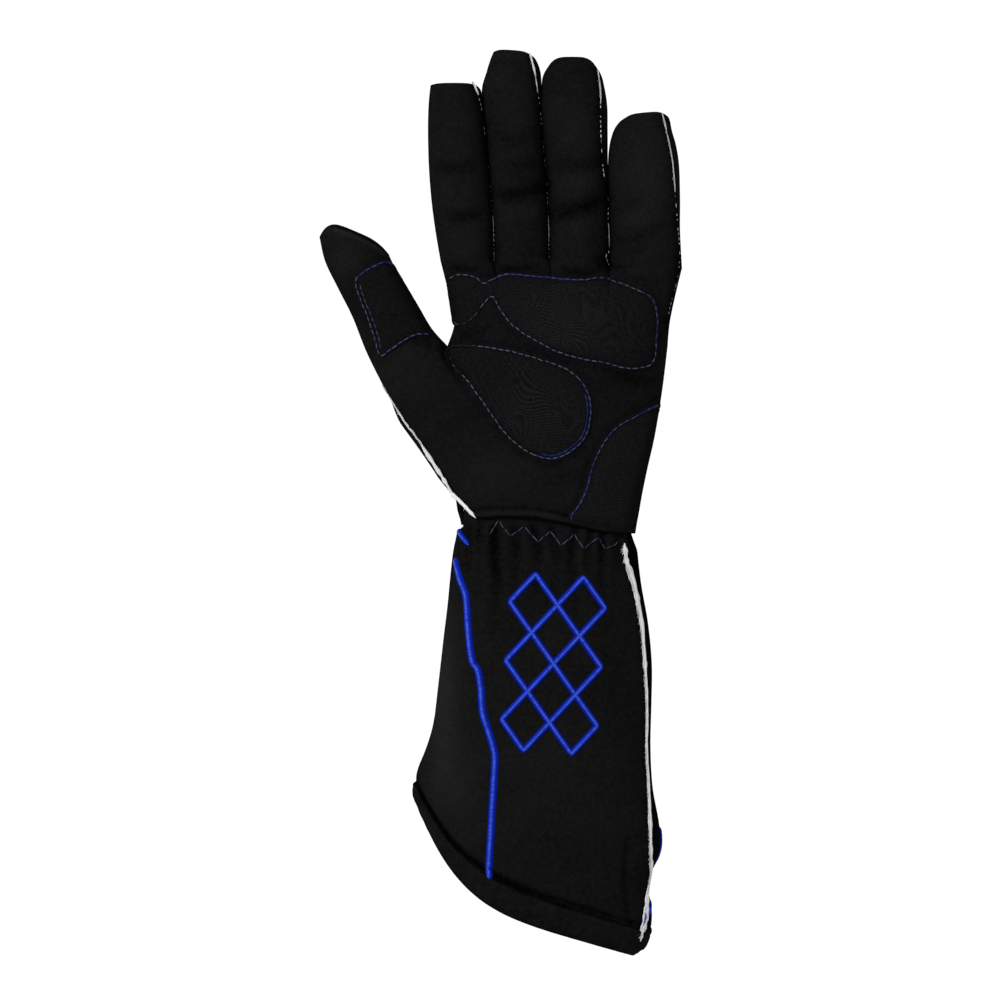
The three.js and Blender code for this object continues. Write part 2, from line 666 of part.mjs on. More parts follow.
// The binding's section goes round the hem's edge: eight corners at each station round the mouth
function bindingSection(top, edge) {
  const out = BINDING_CLOTH + TRIM_GAP;
  const down = edge.point.clone().sub(top.point).normalize();
  const corner = (end, away, past) => end.point.clone()
    .addScaledVector(end.normal, away).addScaledVector(down, past);
  return [
    corner(top, out, 0), corner(edge, out, out),
    corner(edge, -CLOTH - out, out), corner(top, -CLOTH - out, 0),
    corner(top, -CLOTH - TRIM_GAP, 0), corner(edge, -CLOTH - TRIM_GAP, TRIM_GAP),
    corner(edge, TRIM_GAP, TRIM_GAP), corner(top, TRIM_GAP, 0),
  ];
}

function hemBinding(net) {
  const stations = [1, -1].flatMap((side) => {
    const face = netFace(net, side, 0);
    const normals = sheetNormals(net, face);
    const end = (row, step) => {
      const index = net.ids.get(`${row} ${step}`);
      const point = face.points[index].clone();
      if (step === 0 || step === GAUNTLET_STEPS) point.z = net.points[index].middle;
      return { point, normal: normals[index] };
    };
    const last = GAUNTLET_ROWS.length - 1;
    return Array.from({ length: GAUNTLET_STEPS }, (unused, count) => {
      const step = side > 0 ? count : GAUNTLET_STEPS - count;
      return bindingSection(end(last - 1, step), end(last, step));
    });
  });
  const sides = stations[0].length;
  const corner = (ring, k) => (ring % stations.length) * sides + (k % sides);
  const triangles = stations.flatMap((section, ring) => section.flatMap((unused, k) => {
    const [a, b, c, d] = [corner(ring, k), corner(ring, k + 1), corner(ring + 1, k + 1), corner(ring + 1, k)];
    return [[a, b, c], [a, c, d]];
  }));
  return solidFrom(stations.flat(), triangles);
}

const glove = new THREE.Group();

function addMesh(name, geometry, look) {
  const mesh = new THREE.Mesh(geometry, new THREE.MeshStandardMaterial(look));
  mesh.name = name;
  glove.add(mesh);
}

const hand = handNet();
const gauntlet = gauntletNet();

addMesh('palm_panel', clothPanel(hand, 1), CLOTH_LOOK);
addMesh('back_panel', clothPanel(hand, -1), CLOTH_LOOK);
addMesh('gauntlet_palm_panel', clothPanel(gauntlet, 1), CLOTH_LOOK);
addMesh('gauntlet_back_panel', clothPanel(gauntlet, -1), CLOTH_LOOK);
addMesh('hem_binding', hemBinding(gauntlet), CLOTH_LOOK);

addMesh('knuckle_patch', trim(hand, 1, [closedShape(KNUCKLE_PATCH, 40)], PATCH_THICKNESS), GRIP_LOOK);
addMesh('palm_patch', trim(hand, 1, [closedShape(PALM_PATCH, 27)], PATCH_THICKNESS), GRIP_LOOK);
addMesh('heel_patch', trim(hand, 1, [heelShape()], PATCH_THICKNESS), GRIP_LOOK);
addMesh('thumb_patch', trim(hand, 1, [closedShape(THUMB_PATCH, 25)], PATCH_THICKNESS), GRIP_LOOK);

Object.entries(HAND_SEAMS).forEach(([name, table]) => {
  const shape = ribbon(handRoute(table), RAW_SEAM_WIDTH, 8);
  addMesh(name, trim(hand, 1, [shape], RAW_SEAM_HEIGHT), WHITE_LOOK);
});
addMesh('gauntlet_side_seam',
  trim(gauntlet, 1, [ribbon(gauntletRoute(GAUNTLET_SEAM), RAW_SEAM_WIDTH, 10)], RAW_SEAM_HEIGHT), WHITE_LOOK);

addMesh('long_blue_line',
  trim(gauntlet, 1, [ribbon(gauntletRoute(LONG_LINE), SATIN_WIDTH, 12)], SATIN_HEIGHT), BLUE_LOOK);
addMesh('short_blue_line',
  trim(gauntlet, 1, [ribbon(gauntletRoute(SHORT_LINE), SHORT_LINE_WIDTH, 3)], SATIN_HEIGHT), BLUE_LOOK);
addMesh('back_blue_line',
  trim(gauntlet, -1, [ribbon(gauntletRoute(BACK_LINE), SATIN_WIDTH, 10)], SATIN_HEIGHT), BLUE_LOOK);
addMesh('lattice_motif', trim(gauntlet, 1, latticeShape(), SATIN_HEIGHT), BLUE_LOOK);

// The origin lies under the middle of the glove, on the surface that it rests on
const box = new THREE.Box3().setFromObject(glove);
const centre = box.getCenter(new THREE.Vector3());
glove.position.set(-centre.x, -centre.y, -box.min.z);

export default glove;
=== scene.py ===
"""A long-cuffed karting glove for the left hand, lying on its back with the palm up.

Shapes are worked out in millimetres from the middle of the wrist: x across to the little finger, y to the
fingertips, z up from the floor. in_frame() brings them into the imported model's frame, in metres.
"""

import math

import bpy
import numpy as np
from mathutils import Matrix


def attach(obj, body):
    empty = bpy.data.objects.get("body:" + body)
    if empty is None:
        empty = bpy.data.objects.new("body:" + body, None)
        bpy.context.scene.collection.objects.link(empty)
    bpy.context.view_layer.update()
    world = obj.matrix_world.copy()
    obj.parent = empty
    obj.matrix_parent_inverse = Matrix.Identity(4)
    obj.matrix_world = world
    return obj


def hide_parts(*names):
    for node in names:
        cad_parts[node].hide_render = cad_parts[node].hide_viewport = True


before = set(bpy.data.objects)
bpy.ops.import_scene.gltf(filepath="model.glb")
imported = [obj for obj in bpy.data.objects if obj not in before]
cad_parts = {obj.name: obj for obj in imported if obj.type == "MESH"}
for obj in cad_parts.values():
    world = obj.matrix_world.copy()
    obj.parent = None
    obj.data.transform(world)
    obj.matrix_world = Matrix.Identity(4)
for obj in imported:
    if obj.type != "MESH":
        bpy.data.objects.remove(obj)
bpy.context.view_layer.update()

MM = 0.001
WRIST_AT = (18.49, -9.409, 0)


def table(columns, *rows):
    """Rows as dictionaries, each value under the name of its column."""
    return [dict(zip(columns.split(), row)) for row in rows]


# Driving sizes of the hand, most of them as in the solids
HAND_LENGTH = 190
PALM_WIDTH = 86
PALM_THICKNESS = 31
FINGER_THICKNESS = 19
THUMB_THICKNESS = 23
WRIST_WIDTH = 71.6
WRIST_THICKNESS = 27
WRIST_SLOPE = 6.4
WRIST_CROWN = 3.7
PALM_FALL = 7.1
FINGER_RISE = 3
THUMB_RISE = 4
PALM_ROUNDNESS = 2.4
FINGER_BLEND = 24
THUMB_BLEND = 24
DIGIT_REACH = 75
REST_FLAT = 1.06
KNUCKLE_SWELL = 1.25
THUMB_LEAN = 0.4

# Driving sizes of the gauntlet
GAUNTLET_THUMB_SIDE = 108
GAUNTLET_LITTLE_SIDE = 164
HEM_WIDTH = 94
HEM_THICKNESS = 40
HEM_STEEP_SHARE = 0.68
HEM_STEEPNESS = 5.6
BINDING_WIDTH = 6.5

# Cloth, seams and threads
CLOTH = 1.8
SEAM_GAP = 0.3
WRIST_CUT = (7.8, 3.4)
CUT_HEIGHT = 13
SEAM_FLARE = (-2.0, -1.3)
FLARE_TOP = (54, 41)
FLARE_FOOT = (9, 21)
WRIST_PINCH = 1.2
PINCH_SPAN = (7, 0)
HEEL_TRIM = 0.8
TRIM_SPAN = (9, -6)
FALL_SPAN = (0.35, 0.93)
TUCK_DEPTH = 9
TUCK_INSET = 2.3
TUCK_FADES = ((0, 0.026), (-0.025, 0.03))
BINDING_LIFT = 1.3
BINDING_SHARE = BINDING_WIDTH / GAUNTLET_THUMB_SIDE
MOUTH_ROUND = 2.4
ROUND_SPAN = (0.955, 1)
EDGE_FADE = 3.0
PANEL_ALLOWANCE = (1.12, 1.03)
FLAT_SHARE = 0.98
GROOVE_DEPTH = 1.2
GROOVE_RISE = 0.2
GROOVE_WIDTH = 1.0
GROOVE_FADE = 0.45
FOLD_GAIN = 1.15
FOLD_SPREAD = 1.2
FOLD_SHADE = 0.55
GATHER_TOP = (2.5, -1.5)
PATCH_MARGIN = 1.3
PATCH_LIFT = 0.75
STITCH_PITCH = 2.75
STITCH_LENGTH = 2.15
THREAD_WIDTH = 0.46
UNDER_WIDTH = 0.85
STRAND_STEP = 0.7
SATIN_STEP = 0.13
SATIN_WIDTH = 3.2
SHORT_LINE_WIDTH = 2.3
SATIN_HEIGHT = 0.95
SATIN_PITCH = 0.45
MOTIF_WIDTH = 38
MOTIF_LENGTH = 70
MOTIF_TILT = -4
MOTIF_AT = (2.2, -55.0)
MOTIF_CELLS = (2, 3)

# Digits from the crotch to the tip. up: share of HAND_LENGTH at the left edge; lift: how much higher the
# right edge lies; left and right: shares of PALM_WIDTH from the middle of the wrist.
DIGITS = {
    "thumb": {
        "crown": 0.0315,
        "rows": table(
            "up lift left right",
            (0.295, 0.082, -0.767, -0.465), (0.364, 0.049, -0.842, -0.537),
            (0.438, 0.023, -0.907, -0.6), (0.501, 0.006, -0.977, -0.66),
            (0.554, -0.009, -1.033, -0.712), (0.605, -0.036, -1.059, -0.737),
        ),
    },
    "index": {
        "crown": 0.004,
        "rows": table(
            "up lift left right",
            (0.556, 0.002, -0.498, -0.249), (0.62, 0, -0.522, -0.25), (0.686, 0, -0.541, -0.261),
            (0.758, 0, -0.553, -0.274), (0.832, 0, -0.557, -0.288), (0.884, 0, -0.554, -0.3),
            (0.915, 0, -0.548, -0.309), (0.927, 0, -0.544, -0.332),
        ),
    },
    "middle": {
        "crown": 0.006,
        "rows": table(
            "up lift left right",
            (0.558, 0.004, -0.249, 0.009), (0.62, 0, -0.251, 0.0065), (0.686, 0, -0.262, 0.0005),
            (0.758, 0, -0.275, -0.0105), (0.832, 0, -0.289, -0.0245), (0.884, 0, -0.3, -0.031),
            (0.92, 0, -0.3055, -0.0275), (0.955, 0, -0.284, -0.032), (0.981, 0, -0.266, -0.054),
            (0.997, -0.005, -0.251, -0.083),
        ),
    },
    "ring": {
        "crown": 0.0145,
        "rows": table(
            "up lift left right",
            (0.562, -0.014, 0.009, 0.288), (0.62, 0, 0.006, 0.289), (0.686, 0, 0, 0.285),
            (0.758, 0, -0.011, 0.282), (0.832, 0, -0.025, 0.281), (0.884, 0, -0.0315, 0.279),
            (0.926, 0, -0.028, 0.2645), (0.95, 0, -0.018, 0.249), (0.972, 0, 0.012, 0.217),
        ),
    },
    "little": {
        "crown": 0.008,
        "rows": table(
            "up lift left right",
            (0.548, -0.006, 0.288, 0.628), (0.62, 0, 0.288, 0.619), (0.686, 0, 0.284, 0.619),
            (0.758, 0, 0.282, 0.614), (0.8, 0, 0.289, 0.6), (0.83, 0, 0.307, 0.581),
            (0.848, 0.008, 0.332, 0.568), (0.857, 0.008, 0.36, 0.548),
        ),
    },
}

# The palm above the thumb's crotch, and the heel of the hand below it, with the same columns
UPPER_PALM = table(
    "up lift left right",
    (0.556, -0.014, -0.498, 0.628), (0.497, -0.006, -0.465, 0.6), (0.432, -0.004, -0.432, 0.57),
    (0.377, -0.004, -0.465, 0.558),
)
HEEL = table(
    "up lift left right",
    (0.295, 0.078, -0.767, 0.558), (0.229, 0.055, -0.674, 0.534), (0.168, 0.021, -0.577, 0.5),
    (0.105, 0.007, -0.484, 0.462), (0.059, -0.017, -0.43, 0.432),
)

# Where the lines between the digits meet the wrist, as shares of the wrist's width
WRIST_SHARES = [0, 0.21, 0.43, 0.62, 0.81, 1]
UPPER_PALM_SHARE = 0.33

# The gauntlet's two edges below the wrist. along: share of each side's length; left and right: shares of
# HEM_WIDTH from the middle of the wrist.
GAUNTLET = table(
    "along left right",
    (0, -WRIST_WIDTH / HEM_WIDTH / 2, WRIST_WIDTH / HEM_WIDTH / 2), (0.1, -0.402, 0.398),
    (0.2, -0.415, 0.428), (0.3, -0.426, 0.444), (0.4, -0.44, 0.442), (0.5, -0.453, 0.438),
    (0.6, -0.466, 0.447), (0.7, -0.479, 0.476), (0.76, -0.493, 0.474), (0.83, -0.519, 0.427),
    (0.91, -0.554, 0.443), (0.965, -0.559, 0.434), (1, -0.562, 0.407),
)

# Creases and folds of the palm side: a soft valley between two points, with its depth and half width
PALM_FOLDS = table(
    "start end depth width",
    ((-44, 142.6), (-29, 143.4), 0.9, 2.4), ((-39, 122.6), (-26, 124.2), 1.0, 2.2),
    ((-18, 154.0), (-4, 155.6), 0.5, 2.2), ((-15, 143.2), (-3, 145.4), 0.5, 2.0),
    ((-20, 131.2), (0, 135.4), 1.05, 2.5), ((-12, 120.0), (-2, 121.0), 0.4, 2.0),
    ((3, 143.4), (21, 144.6), 0.5, 2.4), ((3, 124.2), (23, 130.4), 1.1, 2.7),
    ((8, 113.0), (20, 114.6), 0.4, 2.0), ((27, 113.0), (45, 118.4), 0.7, 1.8),
    ((29, 108.6), (40, 111.6), 0.6, 1.6), ((26, 126.0), (36, 129.0), 0.4, 2.0),
    ((-39, 102.6), (-27, 103.4), 0.6, 1.4), ((-20, 103.0), (-3, 103.8), 0.7, 1.5),
    ((5, 103.0), (22, 102.0), 0.7, 1.5), ((19, 105.4), (32, 102.6), 0.8, 1.5),
    ((30, 99.6), (45, 97.0), 0.4, 1.6), ((-41.4, 71.0), (-31, 57.0), 1.9, 1.4),
    ((-36, 75.0), (-24, 78.4), 0.8, 1.6), ((-46, 71.0), (-53, 73.4), 0.7, 1.4),
    ((26, 60.0), (44, 57.0), 0.5, 2.2), ((-64, 108.0), (-72, 113.0), 0.3, 3.0),
)

# Gathers below the wrist: place across, where they end, depth and half width
GATHERS = table(
    "across end depth width",
    (-31.0, -17, 0.9, 1.8), (-26.4, -14, 0.9, 1.3), (-20.4, -34, 1.7, 1.8), (-12.4, -22, 1.0, 1.5),
    (-4.6, -24, 1.2, 1.6), (2.6, -18, 1.0, 1.4), (10.4, -26, 1.2, 1.6), (17.2, -18, 1.2, 1.3),
    (23.0, -24, 1.2, 1.4), (28.6, -15, 0.9, 1.2),
)

# Painted sheen on the brushed cloth, where it is painted lighter: middle, half lengths and strength
SHEENS = table(
    "at reach light",
    ((-30, -84), (14, 44), 0.22), ((-36, 152), (7, 13), 0.25), ((-34, 132), (6, 7), 0.1),
    ((-31, 113), (7, 7), 0.3), ((-12, 166), (8, 14), 0.35), ((-9, 123), (8, 6), 0.4),
    ((12, 160), (9, 10), 0.35), ((12, 137), (8, 5), 0.5), ((12, 117), (8, 6), 0.4),
    ((39, 142), (11, 20), 0.65), ((36, 122), (8, 5), 0.4), ((-80, 106), (8, 9), 0.5),
    ((-58, 64), (14, 26), 0.4), ((-22, 18), (16, 10), 0.35), ((-42, -66), (6, 34), 1.3),
    ((-38, -104), (10, 16), 0.5), ((0, -98), (24, 22), 0.25),
)

# Soft unevenness of the two cloths, and how unevenly their naps lie
PALM_UNEVEN = table("height size seed", (0.35, 17, 3), (0.16, 7, 4), (0.05, 2.4, 5))
PALM_NAP = table("height size seed", (0.14, 11, 6), (0.09, 4, 7))
CUFF_UNEVEN = table("height size seed", (0.5, 26, 13), (0.18, 9, 14), (0.05, 2.4, 15))
CUFF_NAP = table("height size seed", (0.14, 13, 16), (0.09, 4, 17))

# The rolled edge at the wrist: raised and sunk bands at their distances above it, and a painted highlight
# on the raised band with painted shade above it
WRIST_ROLL = table("at width height", (1.2, 1.3, 0.75), (4.2, 1.6, -0.3))
WRIST_HIGHLIGHT_AND_SHADE = table("at width height", (1.1, 0.8, 0.45), (3.2, 1.1, -0.6))

# Grip patches: their stitch lines, anticlockwise from the low left corner. Each side is a list that
# starts at its first corner.
KNUCKLE_PATCH = [
    [(-36.6, 80.8), (-33.8, 79.7), (-30.6, 81.6), (-28.0, 84.4), (-24.8, 88.6), (-21.8, 90.6),
     (-18.6, 85.2), (-13.8, 79.2), (-6.2, 73.8), (3.0, 69.2), (12.2, 66.4), (22.8, 64.4), (33.0, 62.4)],
    [(39.8, 63.6), (42.2, 66.8), (42.8, 74.0), (43.4, 81.6)],
    [(42.2, 88.2), (39.8, 91.4), (33.4, 94.4), (27.4, 96.6), (21.4, 98.4), (14.6, 97.4), (7.8, 97.6),
     (-6.2, 98.9), (-16.0, 99.6), (-22.2, 97.6), (-25.4, 96.2), (-28.2, 98.4), (-32.0, 99.7)],
    [(-37.2, 99.5), (-39.0, 96.6), (-38.2, 90.0), (-37.3, 84.0)],
]
TEARDROP_PATCH = [
    [(-39.6, 67.0), (-36.2, 61.6), (-31.8, 57.0), (-26.2, 49.8), (-20.6, 41.6), (-15.0, 34.8),
     (-9.8, 30.2)],
    [(-3.8, 27.4), (3.0, 26.6), (10.2, 30.2), (14.8, 35.4), (16.8, 42.6), (16.6, 49.4)],
    [(13.6, 56.6), (7.4, 61.9), (-1.0, 65.1), (-9.4, 67.6), (-17.8, 69.6), (-28.0, 70.8)],
    [(-38.4, 70.4)],
]
THUMB_PATCH = [
    [(-66.3, 67.8), (-62.6, 69.8), (-57.4, 73.3), (-52.4, 75.8)],
    [(-48.4, 76.0), (-50.6, 81.4), (-53.4, 87.4), (-57.4, 94.6)],
    [(-62.6, 103.4), (-66.4, 104.0), (-71.0, 101.8), (-74.4, 99.4)],
    [(-76.0, 96.4), (-74.2, 90.0), (-71.4, 83.4), (-68.8, 75.8)],
]
HEEL_PATCH = [
    [(9.3, 2.1), (20.0, 0.1)],
    [(31.6, -1.5), (34.2, 8.0), (37.2, 20.0), (40.0, 32.0)],
    [(43.2, 45.0), (43.6, 46.6)],
    [(43.2, 47.8), (34.6, 43.2), (27.6, 39.0), (22.8, 33.6), (19.6, 28.0), (17.4, 22.0), (15.4, 14.4),
     (12.6, 8.2)],
]

# Raw seams of the hand: routes in millimetres
INDEX_SEAM = [
    (-30.2, 177.4), (-29.0, 174.8), (-26.8, 168.0), (-25.4, 158.0), (-24.2, 147.6), (-22.9, 134.0),
    (-21.9, 124.0), (-21.4, 106.6),
]
MIDDLE_SEAM = [
    (-7.4, 188.6), (-5.4, 181.2), (-4.0, 172.8), (-3.0, 166.8), (-1.4, 150.0), (-0.2, 136.4),
    (0.3, 124.0), (0.6, 107.0),
]
RING_SEAM = [
    (19.8, 182.4), (21.0, 172.8), (21.2, 157.6), (22.2, 142.0), (24.2, 132.4), (24.2, 122.8),
    (24.6, 110.4), (23.4, 107.6), (24.6, 104.0),
]
LITTLE_SEAM = [
    (45.4, 165.0), (47.4, 157.2), (49.8, 145.2), (51.0, 132.0), (52.0, 120.0), (52.9, 108.0),
    (51.7, 98.0), (49.9, 91.2), (48.5, 85.6), (47.6, 79.2),
]

# Routes on the gauntlet, in millimetres, and on its back as shares across and along
LONG_LINE = [
    (-37.0, -13.2), (-35.0, -21.2), (-32.6, -28.0), (-31.8, -38.0), (-31.0, -47.6), (-29.8, -54.4),
    (-27.8, -57.6), (-26.6, -64.4), (-25.8, -74.4), (-23.8, -80.8), (-21.8, -87.6), (-21.0, -93.2),
    (-21.8, -107.6), (-22.6, -121.6), (-23.4, -136.0), (-23.4, -141.6),
]
SHORT_LINE = [(-35.8, -1.9), (-33.9, -4.9), (-31.4, -8.0)]
GAUNTLET_SEAM = [
    (30.4, -7.4), (31.0, -14.0), (33.2, -21.2), (35.3, -30.0), (37.2, -41.2), (38.2, -54.4),
    (38.9, -67.6), (39.0, -77.6), (38.8, -89.6), (39.4, -100.8), (40.1, -115.6), (40.5, -129.0),
    (40.6, -137.6), (39.1, -147.0), (38.5, -155.0), (36.9, -162.0), (36.1, -165.0),
]
# How wide that seam is at distances below the wrist
SEAM_WIDTHS = table(
    "down width",
    (7, 1.5), (14, 2.4), (32, 2.4), (50, 1.4), (70, 0.7), (90, 0.9), (110, 1.2), (130, 1.7), (150, 2.5),
    (165, 3.0),
)
# A faint stitched line on the cuff, up from the mouth, drawn as a shallow crease with painted shade in it
HEM_CREASE = {"start": (31.6, -123.0), "end": (33.4, -161.0), "depth": 0.42, "width": 0.9}
BACK_LINE = table("side along", (0.9995, 0.74), (0.999, 0.8), (0.992, 0.87), (0.975, 0.93))
# Two short blue threads beside the cuff's seam
BLUE_BITS = [
    [(39.9, -149.0), (40.2, -152.0), (39.6, -155.4)], [(38.2, -153.6), (38.0, -156.0), (37.4, -158.6)],
]
ZIGZAG = [
    (-23.4, -3.6), (-19.4, 1.6), (-15.0, -4.4), (-9.4, -0.8), (-3.8, -6.8), (1.0, -2.4), (5.4, -8.0),
    (10.6, -3.6), (14.2, -9.2), (20.0, -5.2), (23.0, -9.6), (28.2, -6.8),
]


def mix(a, b, share):
    return a + (b - a) * share


def lens(u):
    """Height of a half circle over the place u on its base, from -1 to 1."""
    return np.sqrt(np.clip(1 - u * u, 0, None))


def broad_lens(u):
    """The same for a fuller curve: u and the height, each to the power PALM_ROUNDNESS, add up to 1."""
    return np.clip(1 - np.abs(u) ** PALM_ROUNDNESS, 0, None) ** (1 / PALM_ROUNDNESS)


def quarter_round(distance, reach):
    """A quarter circle that rises from 0 at an edge to 1 at the reach."""
    return lens(1 - np.clip(distance / reach, 0, 1))


def side_spacing(share):
    """Shares that crowd towards both ends, as a cosine of the even ones."""
    return (1 - np.cos(np.pi * share)) / 2


def smooth_step(low, high, value):
    """0 before low and 1 past high, with three squares less two cubes of the share between them."""
    share = np.clip((value - low) / (high - low), 0, 1)
    return share * share * (3 - 2 * share)


def hill(distance, width):
    """A bell: e to the power of minus the square of distance over width."""
    return np.exp(-((distance / width) ** 2))


def unit(vectors):
    return vectors / np.maximum(np.linalg.norm(vectors, axis=-1, keepdims=True), 1e-12)


def spline(points, share, closed=False):
    """Points at the given shares of a Catmull-Rom curve: between each pair of points a cubic whose end
    slopes are half the step between their neighbours."""
    points = np.asarray(points, float)
    count = len(points)
    last = count if closed else count - 1
    place = np.asarray(share, float) * last
    cell = np.clip(np.floor(place).astype(int), 0, last - 1)
    t = (place - cell)[..., None]
    if closed:
        before, start, end, after = (points[(cell + step) % count] for step in (-1, 0, 1, 2))
    else:
        before, start, end, after = (points[np.clip(cell + step, 0, last)] for step in (-1, 0, 1, 2))
    slope, next_slope = (end - before) / 2, (after - start) / 2
    cubic = 2 * start - 2 * end + slope + next_slope
    square = 3 * end - 3 * start - 2 * slope - next_slope
    return cubic * t**3 + square * t**2 + slope * t + start


def curve(points, samples):
    return spline(points, np.linspace(0, 1, samples))


def step_lengths(route):
    return np.linalg.norm(np.diff(route, axis=0), axis=1)


def places_along(route):
    return np.concatenate([[0], np.cumsum(step_lengths(route))])


def even(route, spacing):
    """A route cut into equal steps near the given spacing, with the distance along it."""
    route = np.asarray(route, float)
    lengths = places_along(route)
    count = max(2, int(round(lengths[-1] / spacing)) + 1)
    places = np.linspace(0, lengths[-1], count)
    return np.stack([np.interp(places, lengths, column) for column in route.T], axis=1), places


def smooth_route(points, spacing):
    return even(curve(points, 40 * len(points)), spacing)[0]


def soft_noise(x, y, size, seed):
    """Smooth noise from -1 to 1: random values on a square lattice, eased between its points."""
    values = np.random.default_rng(seed).uniform(-1, 1, (256, 256))
    u, v = x / size + 128, y / size + 128
    column, row = np.floor(u).astype(int), np.floor(v).astype(int)
    a, b = u - column, v - row
    a, b = a * a * (3 - 2 * a), b * b * (3 - 2 * b)
    low = mix(values[row % 256, column % 256], values[row % 256, (column + 1) % 256], a)
    high = mix(values[(row + 1) % 256, column % 256], values[(row + 1) % 256, (column + 1) % 256], a)
    return mix(low, high, b)


def layered_noise(x, y, layers):
    """The sum of soft noises of several sizes, each with its height."""
    return sum(layer["height"] * soft_noise(x, y, layer["size"], layer["seed"]) for layer in layers)


def bands(distance, rows):
    """Soft raised or sunk bands, each at its own distance from an edge."""
    return sum(row["height"] * hill(distance - row["at"], row["width"]) for row in rows)


def in_frame(points):
    """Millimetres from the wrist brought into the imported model's frame, in metres."""
    return (np.asarray(points, float) + WRIST_AT) * MM


# Meshes

NO_TRIANGLES = np.zeros((0, 3), int)


def add_piece(name, points, quads, finish, attributes, triangles=NO_TRIANGLES, replaces=()):
    """A smooth mesh piece that rides on the glove's one body, from points in millimetres."""
    points = in_frame(points)
    corners = np.concatenate([quads.ravel(), triangles.ravel()]).astype(np.int32)
    quad_count = len(quads)
    starts = np.concatenate([np.arange(quad_count) * 4, quad_count * 4 + np.arange(len(triangles)) * 3])
    mesh = bpy.data.meshes.new(name)
    mesh.vertices.add(len(points))
    mesh.vertices.foreach_set("co", points.astype(np.float32).ravel())
    mesh.loops.add(len(corners))
    mesh.loops.foreach_set("vertex_index", corners)
    mesh.polygons.add(len(starts))
    mesh.polygons.foreach_set("loop_start", starts.astype(np.int32))
    mesh.polygons.foreach_set("use_smooth", np.ones(len(starts), bool))
    mesh.update(calc_edges=True)
    for key, values in attributes.items():
        layer = mesh.attributes.new(key, "FLOAT", "POINT")
        layer.data.foreach_set("value", np.asarray(values, np.float32))
    mesh.materials.append(finish)
    piece = bpy.data.objects.new(name, mesh)
    bpy.context.scene.collection.objects.link(piece)
    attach(piece, "root")
    if replaces:
        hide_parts(*replaces)
    return piece


def grid_quads(ids):
    """Four-sided cells of a table of point numbers whose rows run down and whose columns run right."""
    return np.stack([ids[1:, :-1], ids[1:, 1:], ids[:-1, 1:], ids[:-1, :-1]], axis=-1).reshape(-1, 4)


def open_edges(quads):
    """Edges that only one cell uses, in that cell's direction."""
    edges = np.stack([quads, np.roll(quads, -1, axis=1)], axis=-1).reshape(-1, 2)
    keys = np.sort(edges, axis=1) @ np.array([quads.max() + 1, 1])
    _, first, uses = np.unique(keys, return_index=True, return_counts=True)
    return edges[first[uses == 1]]


def cell_normals(points, quads):
    """Each cell's normal, twice as long as its area is large: the cross product of its diagonals."""
    corners = points[quads]
    return np.cross(corners[:, 2] - corners[:, 0], corners[:, 3] - corners[:, 1])


def point_normals(points, quads):
    """The normal at each point: the sum of its cells' normals."""
    columns = cell_normals(points, quads).T
    summed = [np.bincount(quads.ravel(), np.repeat(column, 4), len(points)) for column in columns]
    return unit(np.stack(summed, axis=1))


def closed_sheet(outer, inner, quads):
    """A sheet's two faces and the rim between them."""
    edges, count = open_edges(quads), len(outer)
    rim = np.stack([edges[:, 1], edges[:, 0], edges[:, 0] + count, edges[:, 1] + count], axis=1)
    return np.concatenate([outer, inner]), np.concatenate([quads, quads[:, ::-1] + count, rim])


def cloth_area(points, quads):
    """Area of a face in square metres: half the length of each cell's normal."""
    return float(np.linalg.norm(cell_normals(points, quads), axis=1).sum() / 2) * MM * MM


def flat_size(points, allowance):
    """Length and width of a face in metres, with an allowance for its curve."""
    size = np.ptp(points, axis=0)[:2] * MM
    return tuple(float(value) for value in size * allowance)


# The hand's form


def hand_point(across, up):
    return np.array([across * PALM_WIDTH, up * HAND_LENGTH])


def wrist_crown(share):
    """How far the wrist's line bows up: fully in its middle and less by a sixth power towards its ends."""
    return WRIST_CROWN * (1 - np.abs(2 * share - 1) ** 6)


def wrist_line(share):
    """The palm's lower edge: it bows up on the thumb's side, and falls to the little finger's side."""
    share = np.asarray(share, float)
    x = (share - 0.5) * WRIST_WIDTH
    fall = PALM_FALL * smooth_step(*FALL_SPAN, share)
    return np.stack([x, wrist_crown(np.minimum(share, 0.5)) - fall], axis=-1)


def wrist_cut(x, y, share):
    """The palm's points with its lower left corner cut in, where the cuff shows behind it: by the full cut
    at the wrist's left end, fading to none over CUT_HEIGHT upwards and to the right of the heel."""
    low = np.clip((CUT_HEIGHT - y) / CUT_HEIGHT, 0, 1.15) * (1 - share)
    return x + WRIST_CUT[0] * low, y + WRIST_CUT[1] * low**1.2


def seam_flare(x, y, share):
    """The back's points, moved out beyond the palm's left edge under the raw seam, and in at the wrist."""
    out = smooth_step(*FLARE_TOP, y) * smooth_step(*FLARE_FOOT, y) * (1 - share) ** 2
    pinch = WRIST_PINCH * smooth_step(*PINCH_SPAN, y) * (1 - share) ** 2
    return x + SEAM_FLARE[0] * out + pinch, y + SEAM_FLARE[1] * out


def edge_curves(rows, ends=()):
    """The left and right edges that a table gives, with the wrist's two ends after them if named."""
    left = [hand_point(row["left"], row["up"]) for row in rows]
    right = [hand_point(row["right"], row["up"] + row["lift"]) for row in rows]
    if len(ends):
        left, right = [*left, ends[0]], [*right, ends[1]]
    return left, right


def line_between(start, end, share):
    return mix(np.asarray(start), np.asarray(end), np.asarray(share)[:, None])


